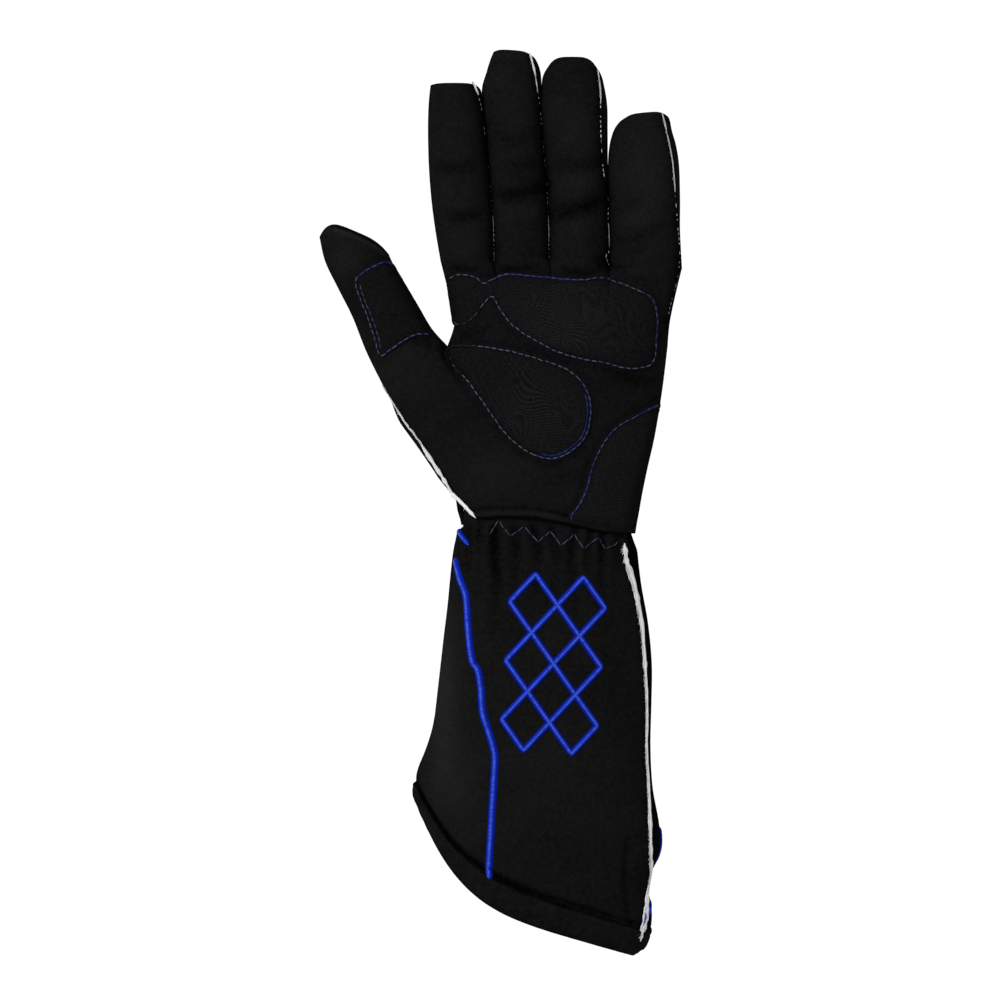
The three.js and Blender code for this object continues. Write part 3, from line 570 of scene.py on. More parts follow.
def palm_form(columns, upper_rows, heel_rows, cut):
    """The palm's rows, from the finger roots to the wrist: each point's place, the height of the middle
    and the half thickness on both sides. A finger's round form fades into the palm's flat one."""
    upper_share = np.linspace(0, 1, upper_rows + 1)
    heel_share = np.linspace(0, 1, heel_rows + 1)[1:]
    upper_left, upper_right = edge_curves(UPPER_PALM)
    heel_left, heel_right = edge_curves(HEEL, wrist_line([0, 1]))
    count = upper_rows + heel_rows + 1
    corners = np.full((count, 6, 2), np.nan)
    for index, name in enumerate(["thumb", "index", "middle", "ring"]):
        base = DIGITS[name]["rows"][0]
        crotch = hand_point(base["right"], base["up"] + base["lift"])
        foot = wrist_line(WRIST_SHARES[index + 1])
        if index:
            above = upper_share * UPPER_PALM_SHARE
            corners[: upper_rows + 1, index + 1] = line_between(crotch, foot, above)
        below = mix(UPPER_PALM_SHARE, 1, heel_share) if index else heel_share
        corners[upper_rows + 1 :, index + 1] = line_between(crotch, foot, below)
    corners[: upper_rows + 1, 1] = spline(upper_left, upper_share)
    corners[: upper_rows + 1, 5] = spline(upper_right, upper_share)
    corners[upper_rows, 0] = heel_left[0]
    corners[upper_rows + 1 :, 0] = spline(heel_left, heel_share)
    corners[upper_rows + 1 :, 5] = spline(heel_right, heel_share)

    upper_length = (UPPER_PALM[0]["up"] - UPPER_PALM[3]["up"]) * HAND_LENGTH
    heel_length = UPPER_PALM[3]["up"] * HAND_LENGTH
    below_fingers = np.concatenate([upper_share * upper_length, upper_length + heel_share * heel_length])
    below_thumb = np.concatenate([upper_share * 0, heel_share * heel_length])
    finger, upper, wrist = FINGER_THICKNESS / 2, PALM_THICKNESS / 2, WRIST_THICKNESS / 2
    middle = np.concatenate([mix(finger, upper, upper_share), mix(upper, wrist, heel_share)])
    half = np.concatenate([mix(finger * KNUCKLE_SWELL, upper, upper_share), mix(upper, wrist, heel_share)])
    finger_free = 1 - quarter_round(below_fingers, FINGER_BLEND)
    thumb_free = 1 - quarter_round(below_thumb, THUMB_BLEND)

    across = side_spacing(np.linspace(0, 1, columns + 1))
    shape = (count, 5 * columns + 1)
    form = {key: np.full(shape, np.nan) for key in ("x", "y", "middle", "front", "back")}
    first = np.where(np.arange(count) < upper_rows, corners[:, 1, 0], corners[:, 0, 0])
    for digit in range(5):
        rows = slice(upper_rows, None) if digit == 0 else slice(None)
        left, right = corners[rows, digit, None], corners[rows, digit + 1, None]
        place = mix(left, right, across[None, :, None])
        x, y = place[..., 0], place[..., 1]
        if digit == 0:
            x, y = (wrist_cut if cut else seam_flare)(x, y, across[None, :])
        elif digit == 4:
            x = x - HEEL_TRIM * smooth_step(*TRIM_SPAN, y) * across[None, :]
        last = corners[rows, 5, None, 0]
        inner_left = corners[rows, 1, None, 0]
        whole = 2 * (x - first[rows, None]) / (last - first[rows, None]) - 1
        inner = 2 * (x - inner_left) / (last - inner_left) - 1
        round_half = (THUMB_THICKNESS if digit == 0 else FINGER_THICKNESS) / 2
        digits = round_half * lens(2 * across - 1)[None, :]
        free = thumb_free[rows, None]
        part = slice(digit * columns, (digit + 1) * columns + 1)
        form["x"][rows, part] = x
        form["y"][rows, part] = y
        form["middle"][rows, part] = middle[rows, None]
        for key, flat in (("front", half), ("back", middle * REST_FLAT)):
            palm = flat[rows, None]
            flatter = mix(palm * broad_lens(inner), digits, finger_free[rows, None])
            knuckles = digits if digit == 0 else flatter
            form[key][rows, part] = mix(palm * broad_lens(whole), knuckles, free)
    return form


def digit_form(name, columns, rows):
    """A finger or the thumb from its crotch to its tip: a lens-shaped section that ends in a round tip."""
    is_thumb = name == "thumb"
    along = 1 - (1 - np.linspace(0, 1, rows + 1)) ** 1.5
    across = side_spacing(np.linspace(0, 1, columns + 1))
    left, right = edge_curves(DIGITS[name]["rows"])
    left, right = spline(left, along), spline(right, along)
    place = mix(left[:, None], right[:, None], across[None, :, None])
    u = (2 * across - 1)[None, :]
    t = along[:, None]
    lean = 1 - THUMB_LEAN * u if is_thumb else 1
    y = place[..., 1] + DIGITS[name]["crown"] * HAND_LENGTH * t**6 * (1 - u**4) * lean
    half = (THUMB_THICKNESS if is_thumb else FINGER_THICKNESS) / 2
    start = PALM_THICKNESS / 2 if is_thumb else FINGER_THICKNESS / 2
    thick = half * lens(u) * quarter_round((1 - t) * DIGIT_REACH, half)
    middle = start + (THUMB_RISE if is_thumb else FINGER_RISE) * t + 0 * u
    return {"x": place[..., 0] + 0 * t, "y": y, "middle": middle, "front": thick, "back": thick}


def hand_net(columns, upper_rows, heel_rows, finger_rows, cut=False):
    """One net for the hand: the palm's points, then each digit's, which share the digit's first row."""
    palm = palm_form(columns, upper_rows, heel_rows, cut)
    used = ~np.isnan(palm["x"])
    ids = np.full(used.shape, -1)
    ids[used] = np.arange(used.sum())
    lists = {key: [values[used]] for key, values in palm.items()}
    cells = [grid_quads(ids)]
    foot = ids[-1]
    count = used.sum()
    for digit, name in enumerate(DIGITS):
        form = digit_form(name, columns, finger_rows)
        base = ids[upper_rows if digit == 0 else 0, digit * columns : (digit + 1) * columns + 1]
        fresh = count + np.arange(finger_rows * (columns + 1)).reshape(finger_rows, columns + 1)
        count += fresh.size
        for key, values in form.items():
            lists[key].append(values[1:].ravel())
        cells.append(grid_quads(np.concatenate([base[None], fresh])[::-1]))
    quads = np.concatenate(cells)
    net = {key: np.concatenate(values) for key, values in lists.items()}
    net["quads"] = quads[(quads >= 0).all(axis=1)]
    net["open"] = np.zeros(count, bool)
    net["open"][foot] = True
    net["floor"] = np.zeros(count)
    net["groove"] = np.zeros(count)
    return net


# The gauntlet's form


def gauntlet_edge(name, along):
    """The place across of the edge named left or right, from a smooth curve through the table's rows."""
    stops = np.array([row["along"] for row in GAUNTLET])
    values = np.array([[row[name] * HEM_WIDTH] for row in GAUNTLET])
    along = np.clip(along, 0, 1)
    return spline(values, np.interp(along, stops, np.linspace(0, 1, len(stops))))[..., 0]


def gauntlet_form(side, along):
    """A point of the gauntlet, from the shares across and along. The hem's curve comes in with the
    distance below the wrist, and the top is drawn in where it is tucked under the palm."""
    side, along = np.broadcast_arrays(np.asarray(side, float), np.asarray(along, float))
    below = np.clip(along, 0, None)
    inset = TUCK_INSET * (1 - smooth_step(*TUCK_FADES[0], along))
    left = gauntlet_edge("left", below) + inset
    right = gauntlet_edge("right", below) - TUCK_INSET * (1 - smooth_step(*TUCK_FADES[1], along))
    hem = mix(side, 1 - (1 - np.clip(side, 0, 1)) ** HEM_STEEPNESS, HEM_STEEP_SHARE)
    length = mix(GAUNTLET_THUMB_SIDE, GAUNTLET_LITTLE_SIDE, mix(side, hem, below**1.5))
    middle = mix(WRIST_THICKNESS, HEM_THICKNESS, below) / 2
    section = broad_lens(2 * side - 1)
    crown = wrist_crown(side) * np.clip(1 - below, 0, 1) ** 2
    rounding = MOUTH_ROUND * smooth_step(*ROUND_SPAN, side) * below**9
    to_edge = (1 - BINDING_SHARE - along) * length
    return {
        "x": mix(left, right, side),
        "y": crown - WRIST_SLOPE * side**2 - along * length + rounding,
        "middle": middle,
        "front": (middle - inset) * section,
        "back": (middle * REST_FLAT - inset) * section,
        "floor": inset + BINDING_LIFT * np.minimum(1, below / (1 - BINDING_SHARE)) ** 2,
        "groove": hill(to_edge - GROOVE_RISE, GROOVE_WIDTH) * (1 - GROOVE_FADE * side),
    }


def underside(form):
    """The back's height: its curve below the middle, but never under the floor."""
    return np.maximum(form["floor"], form["middle"] - SEAM_GAP / 2 - form["back"])


def gauntlet_shares(columns):
    """Shares across the cuff, closer together at its edges."""
    side = np.linspace(0, 1, columns + 1)
    return mix(side, side_spacing(side), 0.6)


def gauntlet_net(columns, rows):
    """The cuff's points in rows from its tucked top to its mouth, closer together at the wrist."""
    side, wrist_end = gauntlet_shares(columns), 0.05
    tucked = np.linspace(-TUCK_DEPTH / GAUNTLET_THUMB_SIDE, wrist_end, rows // 12)
    along = np.concatenate([tucked, np.linspace(wrist_end, 1, rows - len(tucked) + 1)[1:]])
    form = gauntlet_form(side[None, :], along[:, None])
    ids = np.arange(form["x"].size).reshape(form["x"].shape)
    net = {key: values.ravel() for key, values in form.items()}
    net["quads"] = grid_quads(ids)
    net["open"] = np.zeros(ids.size, bool)
    net["open"][ids[0]] = True
    net["open"][ids[-1]] = True
    return net


# Relief of the cloth


def nearest_on(x, y, route):
    """Distance from each point to a route, and the place along it of the nearest route point."""
    route, places = even(route, 0.5)
    distance = np.full(x.shape, 1e9)
    place = np.zeros(x.shape)
    for (route_x, route_y), along in zip(route, places):
        apart = np.hypot(x - route_x, y - route_y)
        closer = apart < distance
        distance = np.where(closer, apart, distance)
        place = np.where(closer, along, place)
    return distance, place


def fold_depth(x, y, fold):
    """A soft valley along a straight line, deepest in its middle and fading past both ends."""
    start, end = np.array(fold["start"]), np.array(fold["end"])
    run = end - start
    length = np.linalg.norm(run)
    ahead = ((x - start[0]) * run[0] + (y - start[1]) * run[1]) / length
    aside = ((x - start[0]) * -run[1] + (y - start[1]) * run[0]) / length
    bow = 0.06 * length * (1 - (2 * ahead / length - 1) ** 2)
    ends = smooth_step(-0.25, 0.2, ahead / length) * (1 - smooth_step(0.8, 1.25, ahead / length))
    return FOLD_GAIN * fold["depth"] * ends * hill(aside + bow, FOLD_SPREAD * fold["width"])


def painted_sheen(x, y):
    """How much lighter the cloth is painted as sheen: the sum of an oval bell for each row of the table."""
    light = np.zeros(np.shape(x))
    for sheen in SHEENS:
        (at_x, at_y), (reach_x, reach_y) = sheen["at"], sheen["reach"]
        light += sheen["light"] * np.exp(-(((x - at_x) / reach_x) ** 2) - ((y - at_y) / reach_y) ** 2)
    return light


def seam_pucker(x, y, route, depth, pitch, reach):
    """Puckers beside a seam: a groove on the line, and ripples square to it that fade with distance."""
    distance, place = nearest_on(x, y, route)
    wander = soft_noise(x, y, 6, 31)
    ripple = 0.35 * np.sin(2 * np.pi * place / pitch + 2 * wander)
    return depth * (ripple * hill(distance, reach) - hill(distance, reach / 3))


def outline_of(sides, samples=600):
    """The closed stitch line through a patch's sides, with the sample number of each corner."""
    stops = np.concatenate(sides)
    starts = np.cumsum([0] + [len(side) for side in sides[:-1]])
    points = spline(stops, np.arange(samples) / samples, closed=True)
    return points, [int(start) * samples // len(stops) for start in starts]


def stretch(outline, start, end):
    """A closed outline's points from one number to another, past its start where need be."""
    return np.take(outline, np.arange(start, end + 1), axis=0, mode="wrap")


def pushed_out(outline, distance):
    """A closed anticlockwise outline moved outwards along its own normals."""
    ahead = unit(np.roll(outline, -4, axis=0) - np.roll(outline, 4, axis=0))
    return outline + distance * np.stack([ahead[:, 1], -ahead[:, 0]], axis=1)


PATCH_SIDES = {
    "knuckle_patch": KNUCKLE_PATCH,
    "palm_patch": TEARDROP_PATCH,
    "thumb_patch": THUMB_PATCH,
    "heel_patch": HEEL_PATCH,
}
FINGER_SEAMS = {
    "index_seam": INDEX_SEAM,
    "middle_seam": MIDDLE_SEAM,
    "ring_seam": RING_SEAM,
    "little_finger_seam": LITTLE_SEAM,
}
# The ridge across the thumb's tip, painted lighter as a highlight, and the spans over which the band beyond
# it, sunk and painted darker as shade, comes and goes
THUMB_EDGE = [(-84.6, 117.6), (-78.6, 115.6), (-73.4, 113.2), (-67.4, 110.0), (-62.4, 105.4)]
THUMB_BAND = ((-87, -84), (-59, -61))


def palm_relief(x, y):
    """Height that the palm side's cloth gains or loses at each place, and its tone: the pile's unevenness
    with painted sheen, and painted shade and highlight by its creases, patches, seams and edges.
    """
    rise = layered_noise(x, y, PALM_UNEVEN)
    nap_and_painted_light = layered_noise(x, y, PALM_NAP) + painted_sheen(x, y)
    for fold in PALM_FOLDS:
        depth = fold_depth(x, y, fold)
        rise -= depth
        nap_and_painted_light -= FOLD_SHADE * depth
    for sides in PATCH_SIDES.values():
        distance, place = nearest_on(x, y, outline_of(sides, 240)[0])
        rise += 0.10 * np.sin(2 * np.pi * place / 6.1) * hill(distance, 3.2) - 0.35 * hill(distance, 1.8)
        # Painted shade in a band beside each patch's edge
        nap_and_painted_light -= 0.25 * hill(distance - 2.2, 1.4)
    for route in FINGER_SEAMS.values():
        seam = curve(route, 80)
        rise += seam_pucker(x, y, seam, depth=0.55, pitch=5.2, reach=3.0)
        # Painted shade in the slits where the finger seams lie
        nap_and_painted_light -= 0.55 * hill(nearest_on(x, y, seam)[0], 1.5)
    edge, _ = nearest_on(x, y, curve(THUMB_EDGE, 60))
    edge_x, edge_y = np.array(THUMB_EDGE).T
    beyond = smooth_step(0.5, 1.6, y - np.interp(x, edge_x, edge_y))
    beyond *= smooth_step(*THUMB_BAND[0], x) * smooth_step(*THUMB_BAND[1], x)
    rise += 0.5 * hill(edge, 0.9) - 0.7 * beyond
    # Painted highlight along the thumb's ridge, and painted shade on the band beyond it
    nap_and_painted_light += 1.1 * hill(edge, 0.85) - 0.8 * beyond
    wrist_x, wrist_y = wrist_line(np.linspace(0, 1, 80)).T
    above = y - np.interp(x, wrist_x, wrist_y)
    rise += bands(above, WRIST_ROLL)
    # Painted highlight on the wrist's roll and painted shade above it
    nap_and_painted_light += bands(above, WRIST_HIGHLIGHT_AND_SHADE)
    return rise, nap_and_painted_light


def gauntlet_relief(x, y):
    """The same for the cuff: its gathers, each a groove with painted shade in it and a lower ridge to its
    right, its seams, and painted sheen.
    """
    rise = layered_noise(x, y, CUFF_UNEVEN)
    nap_and_painted_light = layered_noise(x, y, CUFF_NAP) + painted_sheen(x, y)
    for gather in GATHERS:
        width = gather["width"]
        below = np.clip(y / gather["end"], 0, None)
        aside = x - (gather["across"] + 1.5 * soft_noise(x * 0 + gather["across"], y, 12, 18))
        fade = np.exp(-(below**2)) * smooth_step(*GATHER_TOP, y)
        depth = gather["depth"] * fade * hill(aside, width * (1 + 0.5 * below))
        rise -= FOLD_GAIN * depth
        rise += 0.5 * gather["depth"] * fade * hill(aside - 2.4 * width, width * 1.2)
        nap_and_painted_light -= FOLD_SHADE * depth
    seam = curve(GAUNTLET_SEAM, 90)
    rise += seam_pucker(x, y, seam, depth=0.6, pitch=7.5, reach=3.4)
    for line in (LONG_LINE, SHORT_LINE):
        rise += seam_pucker(x, y, curve(line, 90), depth=0.4, pitch=9.0, reach=3.6)
    crease = fold_depth(x, y, HEM_CREASE)
    beyond = x - np.interp(y, seam[::-1, 1], seam[::-1, 0])
    # The cloth beyond the seam, towards the cuff's right edge, is painted darker
    nap_and_painted_light -= 0.8 * smooth_step(0.8, 2.0, beyond)
    # Painted shade in the crease
    return rise - 0.6 * crease, nap_and_painted_light - crease


def cloth_faces(net, relief):
    """A net's face on the palm side, with its relief, and its pile's tone with painted sheen and shade,
    painted darker as shade in the binding's groove.
    """
    free = smooth_step(0, EDGE_FADE, net["front"])
    rise, nap_and_painted_light = relief(net["x"], net["y"])
    front = net["middle"] + SEAM_GAP / 2 + net["front"] + (rise - GROOVE_DEPTH * net["groove"]) * free
    # Painted shade in the binding's groove
    return np.stack([net["x"], net["y"], front], axis=1), nap_and_painted_light - 1.2 * net["groove"]


def back_face(net, seed):
    """The back's face, a little uneven where it isn't pressed flat, and the uneven tone of its pile."""
    soft = 0.3 * soft_noise(net["x"], net["y"], 14, 41) * smooth_step(0, EDGE_FADE, net["back"])
    low = np.maximum(net["floor"], net["middle"] - SEAM_GAP / 2 - net["back"] + np.abs(soft))
    return np.stack([net["x"], net["y"], low], axis=1), 0.2 * soft_noise(net["x"], net["y"], 9, seed)


def panel(name, node, net, points, nap_and_painted_light, turned=False):
    """A cloth panel: the outer face, thickened inwards square to itself, and level at its sewn edges."""
    quads = net["quads"][:, ::-1] if turned else net["quads"]
    open_points = net["open"]
    normals = point_normals(points, quads)
    edge = np.unique(open_edges(quads))
    sewn = edge[~open_points[edge]]
    normals[sewn, 2] = 0
    normals[open_points, 1] = 0
    walls, cells = closed_sheet(points, points - CLOTH * unit(normals), quads)
    nap_and_painted_light = {"nap_and_painted_light": np.tile(nap_and_painted_light, 2)}
    piece = add_piece(name, walls, cells, CLOTH_FINISH, nap_and_painted_light, replaces=[node])
    return piece, flat_size(points, PANEL_ALLOWANCE), cloth_area(points, quads)


# The height maps: the side of a cell, the corner where they start, and their rows and columns
CELL = 0.4
MAP_LOW = (-96.0, -176.0)
MAP_SHAPE = (930, 392)


def height_map(points, quads):
    """Heights of a face on a square grid of cells: each cell of the face is sampled evenly, and the
    samples that fall in a grid cell are averaged. Empty cells take the mean of their neighbours."""
    corners = points[quads]
    total, count = np.zeros(MAP_SHAPE), np.zeros(MAP_SHAPE)
    for a in np.linspace(0.1, 0.9, 5):
        for b in np.linspace(0.1, 0.9, 5):
            low = mix(corners[:, 0], corners[:, 1], a)
            sample = mix(low, mix(corners[:, 3], corners[:, 2], a), b)
            column = ((sample[:, 0] - MAP_LOW[0]) / CELL).astype(int)
            row = ((sample[:, 1] - MAP_LOW[1]) / CELL).astype(int)
            np.add.at(total, (row, column), sample[:, 2])
            np.add.at(count, (row, column), 1)
    for _ in range(12):
        empty = count == 0
        spread, uses = (
            sum(np.roll(grid, shift, axis) for axis in (0, 1) for shift in (-1, 1))
            for grid in (total, count))
        total = np.where(empty & (uses > 0), spread / np.maximum(uses, 1), total)
        count = np.where(empty & (uses > 0), 1, count)
    return total / np.maximum(count, 1)


def height_at(heights, x, y):
    """The map's height at any place, mixed evenly between the four nearest cells."""
    u = np.clip((x - MAP_LOW[0]) / CELL - 0.5, 0, MAP_SHAPE[1] - 2)
    v = np.clip((y - MAP_LOW[1]) / CELL - 0.5, 0, MAP_SHAPE[0] - 2)
    column, row = u.astype(int), v.astype(int)
    a, b = u - column, v - row
    low = mix(heights[row, column], heights[row, column + 1], a)
    high = mix(heights[row + 1, column], heights[row + 1, column + 1], a)
    return mix(low, high, b)


def normal_at(heights, x, y, reach=0.8):
    """The cloth's normal, from the map's slopes between places a reach away on both sides."""
    slope_x = (height_at(heights, x + reach, y) - height_at(heights, x - reach, y)) / (2 * reach)
    slope_y = (height_at(heights, x, y + reach) - height_at(heights, x, y - reach)) / (2 * reach)
    return unit(np.stack([-slope_x, -slope_y, np.ones_like(slope_x)], axis=-1))


def laid_on(heights, route, lift=0.0):
    """A plan route brought onto the cloth, with the cloth's normals, raised along them."""
    route = np.asarray(route, float)
    x, y = route[..., 0], route[..., 1]
    normals = normal_at(heights, x, y)
    points = np.stack([x, y, height_at(heights, x, y)], axis=-1)
    return points + lift * normals, normals


# Threads, strips and strands

STITCH_TAPER = (0.5, 0.95, 1.0, 0.95, 0.5)


def axes_along(route, up):
    """Unit directions along a route, across it and up from it."""
    ahead = unit(np.gradient(route, axis=0))
    across = unit(np.cross(ahead, up))
    return ahead, across, np.cross(across, ahead)


def tube(route, up, width, height, sides=8):
    """A closed tube: an ellipse square to the route at each of its points, and a point at each end."""
    _, across, lift = axes_along(route, up)
    turn = 2 * np.pi * np.arange(sides) / sides
    width = np.broadcast_to(width, len(route))[:, None, None] / 2
    height = np.broadcast_to(height, len(route))[:, None, None] / 2
    ring = across[:, None] * np.cos(turn)[None, :, None] * width
    ring = ring + lift[:, None] * np.sin(turn)[None, :, None] * height
    rings = (route[:, None] + ring).reshape(-1, 3)
    ids = np.pad(np.arange(len(rings)).reshape(len(route), sides), ((0, 0), (0, 1)), mode="wrap")
    quads = np.roll(grid_quads(ids), 1, axis=1)
    start, end = len(rings), len(rings) + 1
    head = np.stack([ids[0, :-1], ids[0, 1:], np.full(sides, start)], axis=1)
    tail = np.stack([ids[-1, 1:], ids[-1, :-1], np.full(sides, end)], axis=1)
    points = np.concatenate([rings, route[:1], route[-1:]])
    return points, quads, np.concatenate([head, tail])


def joined(parts):
    """Several meshes as one: their points one after another, with the cells' numbers moved on."""
    points, quads, triangles = zip(*parts)
    starts = np.cumsum([0] + [len(part) for part in points[:-1]])
    quads = [cells + start for cells, start in zip(quads, starts)]
    triangles = [cells + start for cells, start in zip(triangles, starts)]
    return np.concatenate(points), np.concatenate(quads), np.concatenate(triangles)


def copies(centres, ahead, up, length, width, height, sides=6, taper=STITCH_TAPER, arch=0.0):
    """Many short threads at once: one small tube, bowed up by arch, set at each centre. The number of
    points in each thread comes with them."""
    stations = np.linspace(-0.5, 0.5, len(taper))
    route = np.stack([0 * stations, stations, 0 * stations], axis=1)
    breadth = 2 * np.array(taper)
    base, quads, triangles = tube(route, np.tile([0.0, 0.0, 1.0], (len(route), 1)), breadth, breadth, sides)
    count = len(centres)
    scale = [np.broadcast_to(value, count)[:, None, None] for value in (width, length, height)]
    across = unit(np.cross(ahead, up))
    lift = np.cross(across, ahead)
    bow = arch * (1 - (2 * base[:, 1]) ** 2)[None, :, None]
    points = centres[:, None] + across[:, None] * base[None, :, :1] * scale[0] / 2
    points = points + ahead[:, None] * base[None, :, 1:2] * scale[1]
    points = points + lift[:, None] * (base[None, :, 2:] * scale[2] / 2 + bow)
    step = (np.arange(count) * len(base))[:, None, None]
    mesh = points.reshape(-1, 3), (quads + step).reshape(-1, 4), (triangles + step).reshape(-1, 3)
    return mesh, len(base)


def strip(route, up, width, height, ridge, highlight_at=0.0, steps=12):
    """A raised strip with a half-round section, whose threads lie across it as small ridges, with a painted
    highlight along a line at the given place across it, from -1 at its left edge to 1 at its right as seen
    along the route."""
    _, across, lift = axes_along(route, up)
    places = places_along(route)
    turn = np.linspace(0, np.pi, steps + 1)
    wave = 1 + ridge * np.cos(2 * np.pi * places / SATIN_PITCH)[:, None]
    to_end = np.minimum(places, places[-1] - places)
    ends = np.sqrt(np.clip(to_end / (SATIN_WIDTH / 2), 0.04, 1))[:, None]
    wide = np.broadcast_to(width, len(route))[:, None] / 2 * ends * (1 + 0.3 * (wave - 1))
    tall = np.broadcast_to(height, len(route))[:, None] * ends * wave
    side = wide * np.cos(turn)[None, :]
    rise = tall * np.sin(turn)[None, :] ** 0.8 - 0.15
    top = route[:, None] + across[:, None] * side[..., None] + lift[:, None] * rise[..., None]
    base = route[:, None] + across[:, None] * side[..., None] - lift[:, None] * 0.35
    quads = grid_quads(np.arange(side.size).reshape(side.shape))[:, ::-1]
    points, cells = closed_sheet(top.reshape(-1, 3), base.reshape(-1, 3), quads)
    # Painted highlight along the strip, stronger on some threads than on others
    core = hill(np.cos(turn) - highlight_at, 0.3)[None, :]
    thread = np.floor(places / SATIN_PITCH).astype(int)
    shade = np.random.default_rng(len(route)).uniform(0.5, 1.25, thread.max() + 2)[thread]
    tone = (core * shade[:, None]).ravel()
    return (points, cells, NO_TRIANGLES), {"tone": np.tile(tone, 2)}


# Materials


class Value:
    """A socket of a material, so that shader maths is written as Python expressions."""

    def __init__(self, finish, socket):
        self.finish = finish
        self.socket = socket

    def maths(self, operation, *values):
        return self.finish.node("ShaderNodeMath", {"operation": operation}, dict(enumerate(values)))

    def __add__(self, other):
        return self.maths("ADD", self, other)

    __radd__ = __add__

    def __sub__(self, other):
        return self.maths("SUBTRACT", self, other)

    def __rsub__(self, other):
        return self.maths("SUBTRACT", other, self)

    def __mul__(self, other):
        return self.maths("MULTIPLY", self, other)

    __rmul__ = __mul__

    def clamped(self):
        return self.maths("MAXIMUM", self.maths("MINIMUM", self, 1.0), 0.0)


class Finish:
    """A material in the making: node() adds any node, with its settings first and its sockets after."""

    def __init__(self, name):
        self.material = bpy.data.materials.new(name)
        self.material.use_nodes = True
        self.tree = self.material.node_tree
        self.tree.nodes.clear()

    def node(self, kind, settings=None, sockets=None, output=0):
        node = self.tree.nodes.new(kind)
        for key, value in (settings or {}).items():
            setattr(node, key, value)
        for key, value in (sockets or {}).items():
            if isinstance(value, Value):
                self.tree.links.new(value.socket, node.inputs[key])
            else:
                node.inputs[key].default_value = value
        return Value(self, node.outputs[output])

    def place(self):
        return self.node("ShaderNodeTexCoord", output="Object")

    def noise(self, scale, detail, stretch=(1, 1, 1)):
        place = self.node("ShaderNodeMapping", {}, {"Vector": self.place(), "Scale": stretch})
        return self.node("ShaderNodeTexNoise", {}, {"Vector": place, "Scale": scale, "Detail": detail})

    def attribute(self, name):
        return self.node("ShaderNodeAttribute", {"attribute_name": name}, output="Fac")

    def colours(self, share, low, high):
        low, high = (value if isinstance(value, Value) else (*value, 1) for value in (low, high))
        return self.node("ShaderNodeMix", {"data_type": "RGBA"}, {0: share, 6: low, 7: high}, 2)

    def bump(self, height, distance, strength):
        sockets = {"Height": height, "Distance": distance, "Strength": strength}
        return self.node("ShaderNodeBump", {}, sockets)

    def done(self, colour, roughness, normal, specular):
        return self.surface({
            "Base Color": colour, "Roughness": roughness, "Normal": normal, "Specular IOR Level": specular})

    def surface(self, sockets):
        shader = self.node("ShaderNodeBsdfPrincipled", {}, sockets, "BSDF")
        output = self.tree.nodes.new("ShaderNodeOutputMaterial")
        self.tree.links.new(shader.socket, output.inputs["Surface"])
        return self.material


def brushed_knit(name, dark, light):
    """Matte black knit with a short brushed pile: fine loops, felted specks, and broad lighter and darker
    patches, partly the pile's own unevenness and partly painted sheen and painted shade.
    """
    finish = Finish(name)
    loops = finish.noise(2400, 2.0, (1, 0.55, 1))
    felt = finish.noise(620, 3.0)
    # This attribute holds the pile's uneven tone together with painted sheen and painted shade
    nap_and_painted_light = finish.attribute("nap_and_painted_light")
    share = (0.34 + 0.36 * nap_and_painted_light + 0.5 * (felt - 0.5) + 0.35 * (loops - 0.5)).clamped()
    relief = finish.bump(0.6 * loops + 0.8 * felt, 0.00035, 0.7)
    return finish.done(finish.colours(share, dark, light), 0.93 - 0.1 * felt, relief, 0.0)


def printed_grip(name, dark, light):
    """Black cloth with fine raised rows that run in waves round a middle, broken into dots."""
    finish = Finish(name)
    felt = finish.noise(900, 2.0)
    printed = (finish.attribute("row") * finish.attribute("dots")).clamped()
    share = (0.19 + 1.1 * printed + 0.6 * (felt - 0.5)).clamped()
    relief = finish.bump(1.2 * printed + 0.5 * felt, 0.0003, 0.8)
    return finish.done(finish.colours(share, dark, light), 0.85 - 0.25 * printed, relief, 0.0)


def satin_thread(name, deep, highlight_blue):
    """Blue embroidery thread: a soft shine on rows of fine threads, and a painted highlight along the
    middle.
    """
    finish = Finish(name)
    fibre = finish.noise(3000, 2.0)
    share = (finish.attribute("tone") + 0.3 * (fibre - 0.5)).clamped()
    relief = finish.bump(fibre, 0.0001, 0.5)
    return finish.done(finish.colours(share, deep, highlight_blue), 0.42 + 0.2 * fibre, relief, 0.03)


def stitch_thread(name, navy, blue, pale):
    """Sewing thread: near-black navy or blue where it lies flat, and a pale lavender on its stitches."""
    finish = Finish(name)
    fibre = finish.noise(3000, 2.0)
    tone = (finish.attribute("tone") + 0.12 * (fibre - 0.5)).clamped()
    colour = finish.colours(tone, finish.colours(finish.attribute("blue"), navy, blue), pale)
    return finish.done(colour, 0.5, finish.bump(fibre, 0.0001, 0.5), 0.04)


def raw_fibre(name, dark, light):
    """White fibres of a raw cloth edge, with grey streaks between them."""
    finish = Finish(name)
    fibre = finish.noise(2600, 3.0, (1, 0.4, 1))
    share = (finish.attribute("tone") + 0.4 * (fibre - 0.5)).clamped()
    relief = finish.bump(fibre, 0.00015, 0.6)
    return finish.done(finish.colours(share, dark, light), 0.9, relief, 0.1)


def plain_floor():
    return Finish("white_paper").surface({
        "Base Color": (0, 0, 0, 1), "Roughness": 0.9, "Specular IOR Level": 0.0,
        "Emission Color": (1, 1, 1, 1), "Emission Strength": 1.05})


KNIT_BLACK = (0.0012, 0.0012, 0.0012)
CLOTH_FINISH = brushed_knit("brushed_knit", dark=KNIT_BLACK, light=(0.0150, 0.0150, 0.0151))
BINDING_FINISH = brushed_knit("folded_binding", dark=KNIT_BLACK, light=(0.0155, 0.0155, 0.0156))
GRIP_FINISH = printed_grip("printed_grip", dark=(0.0026, 0.0026, 0.0026), light=(0.0165, 0.0165, 0.0167))
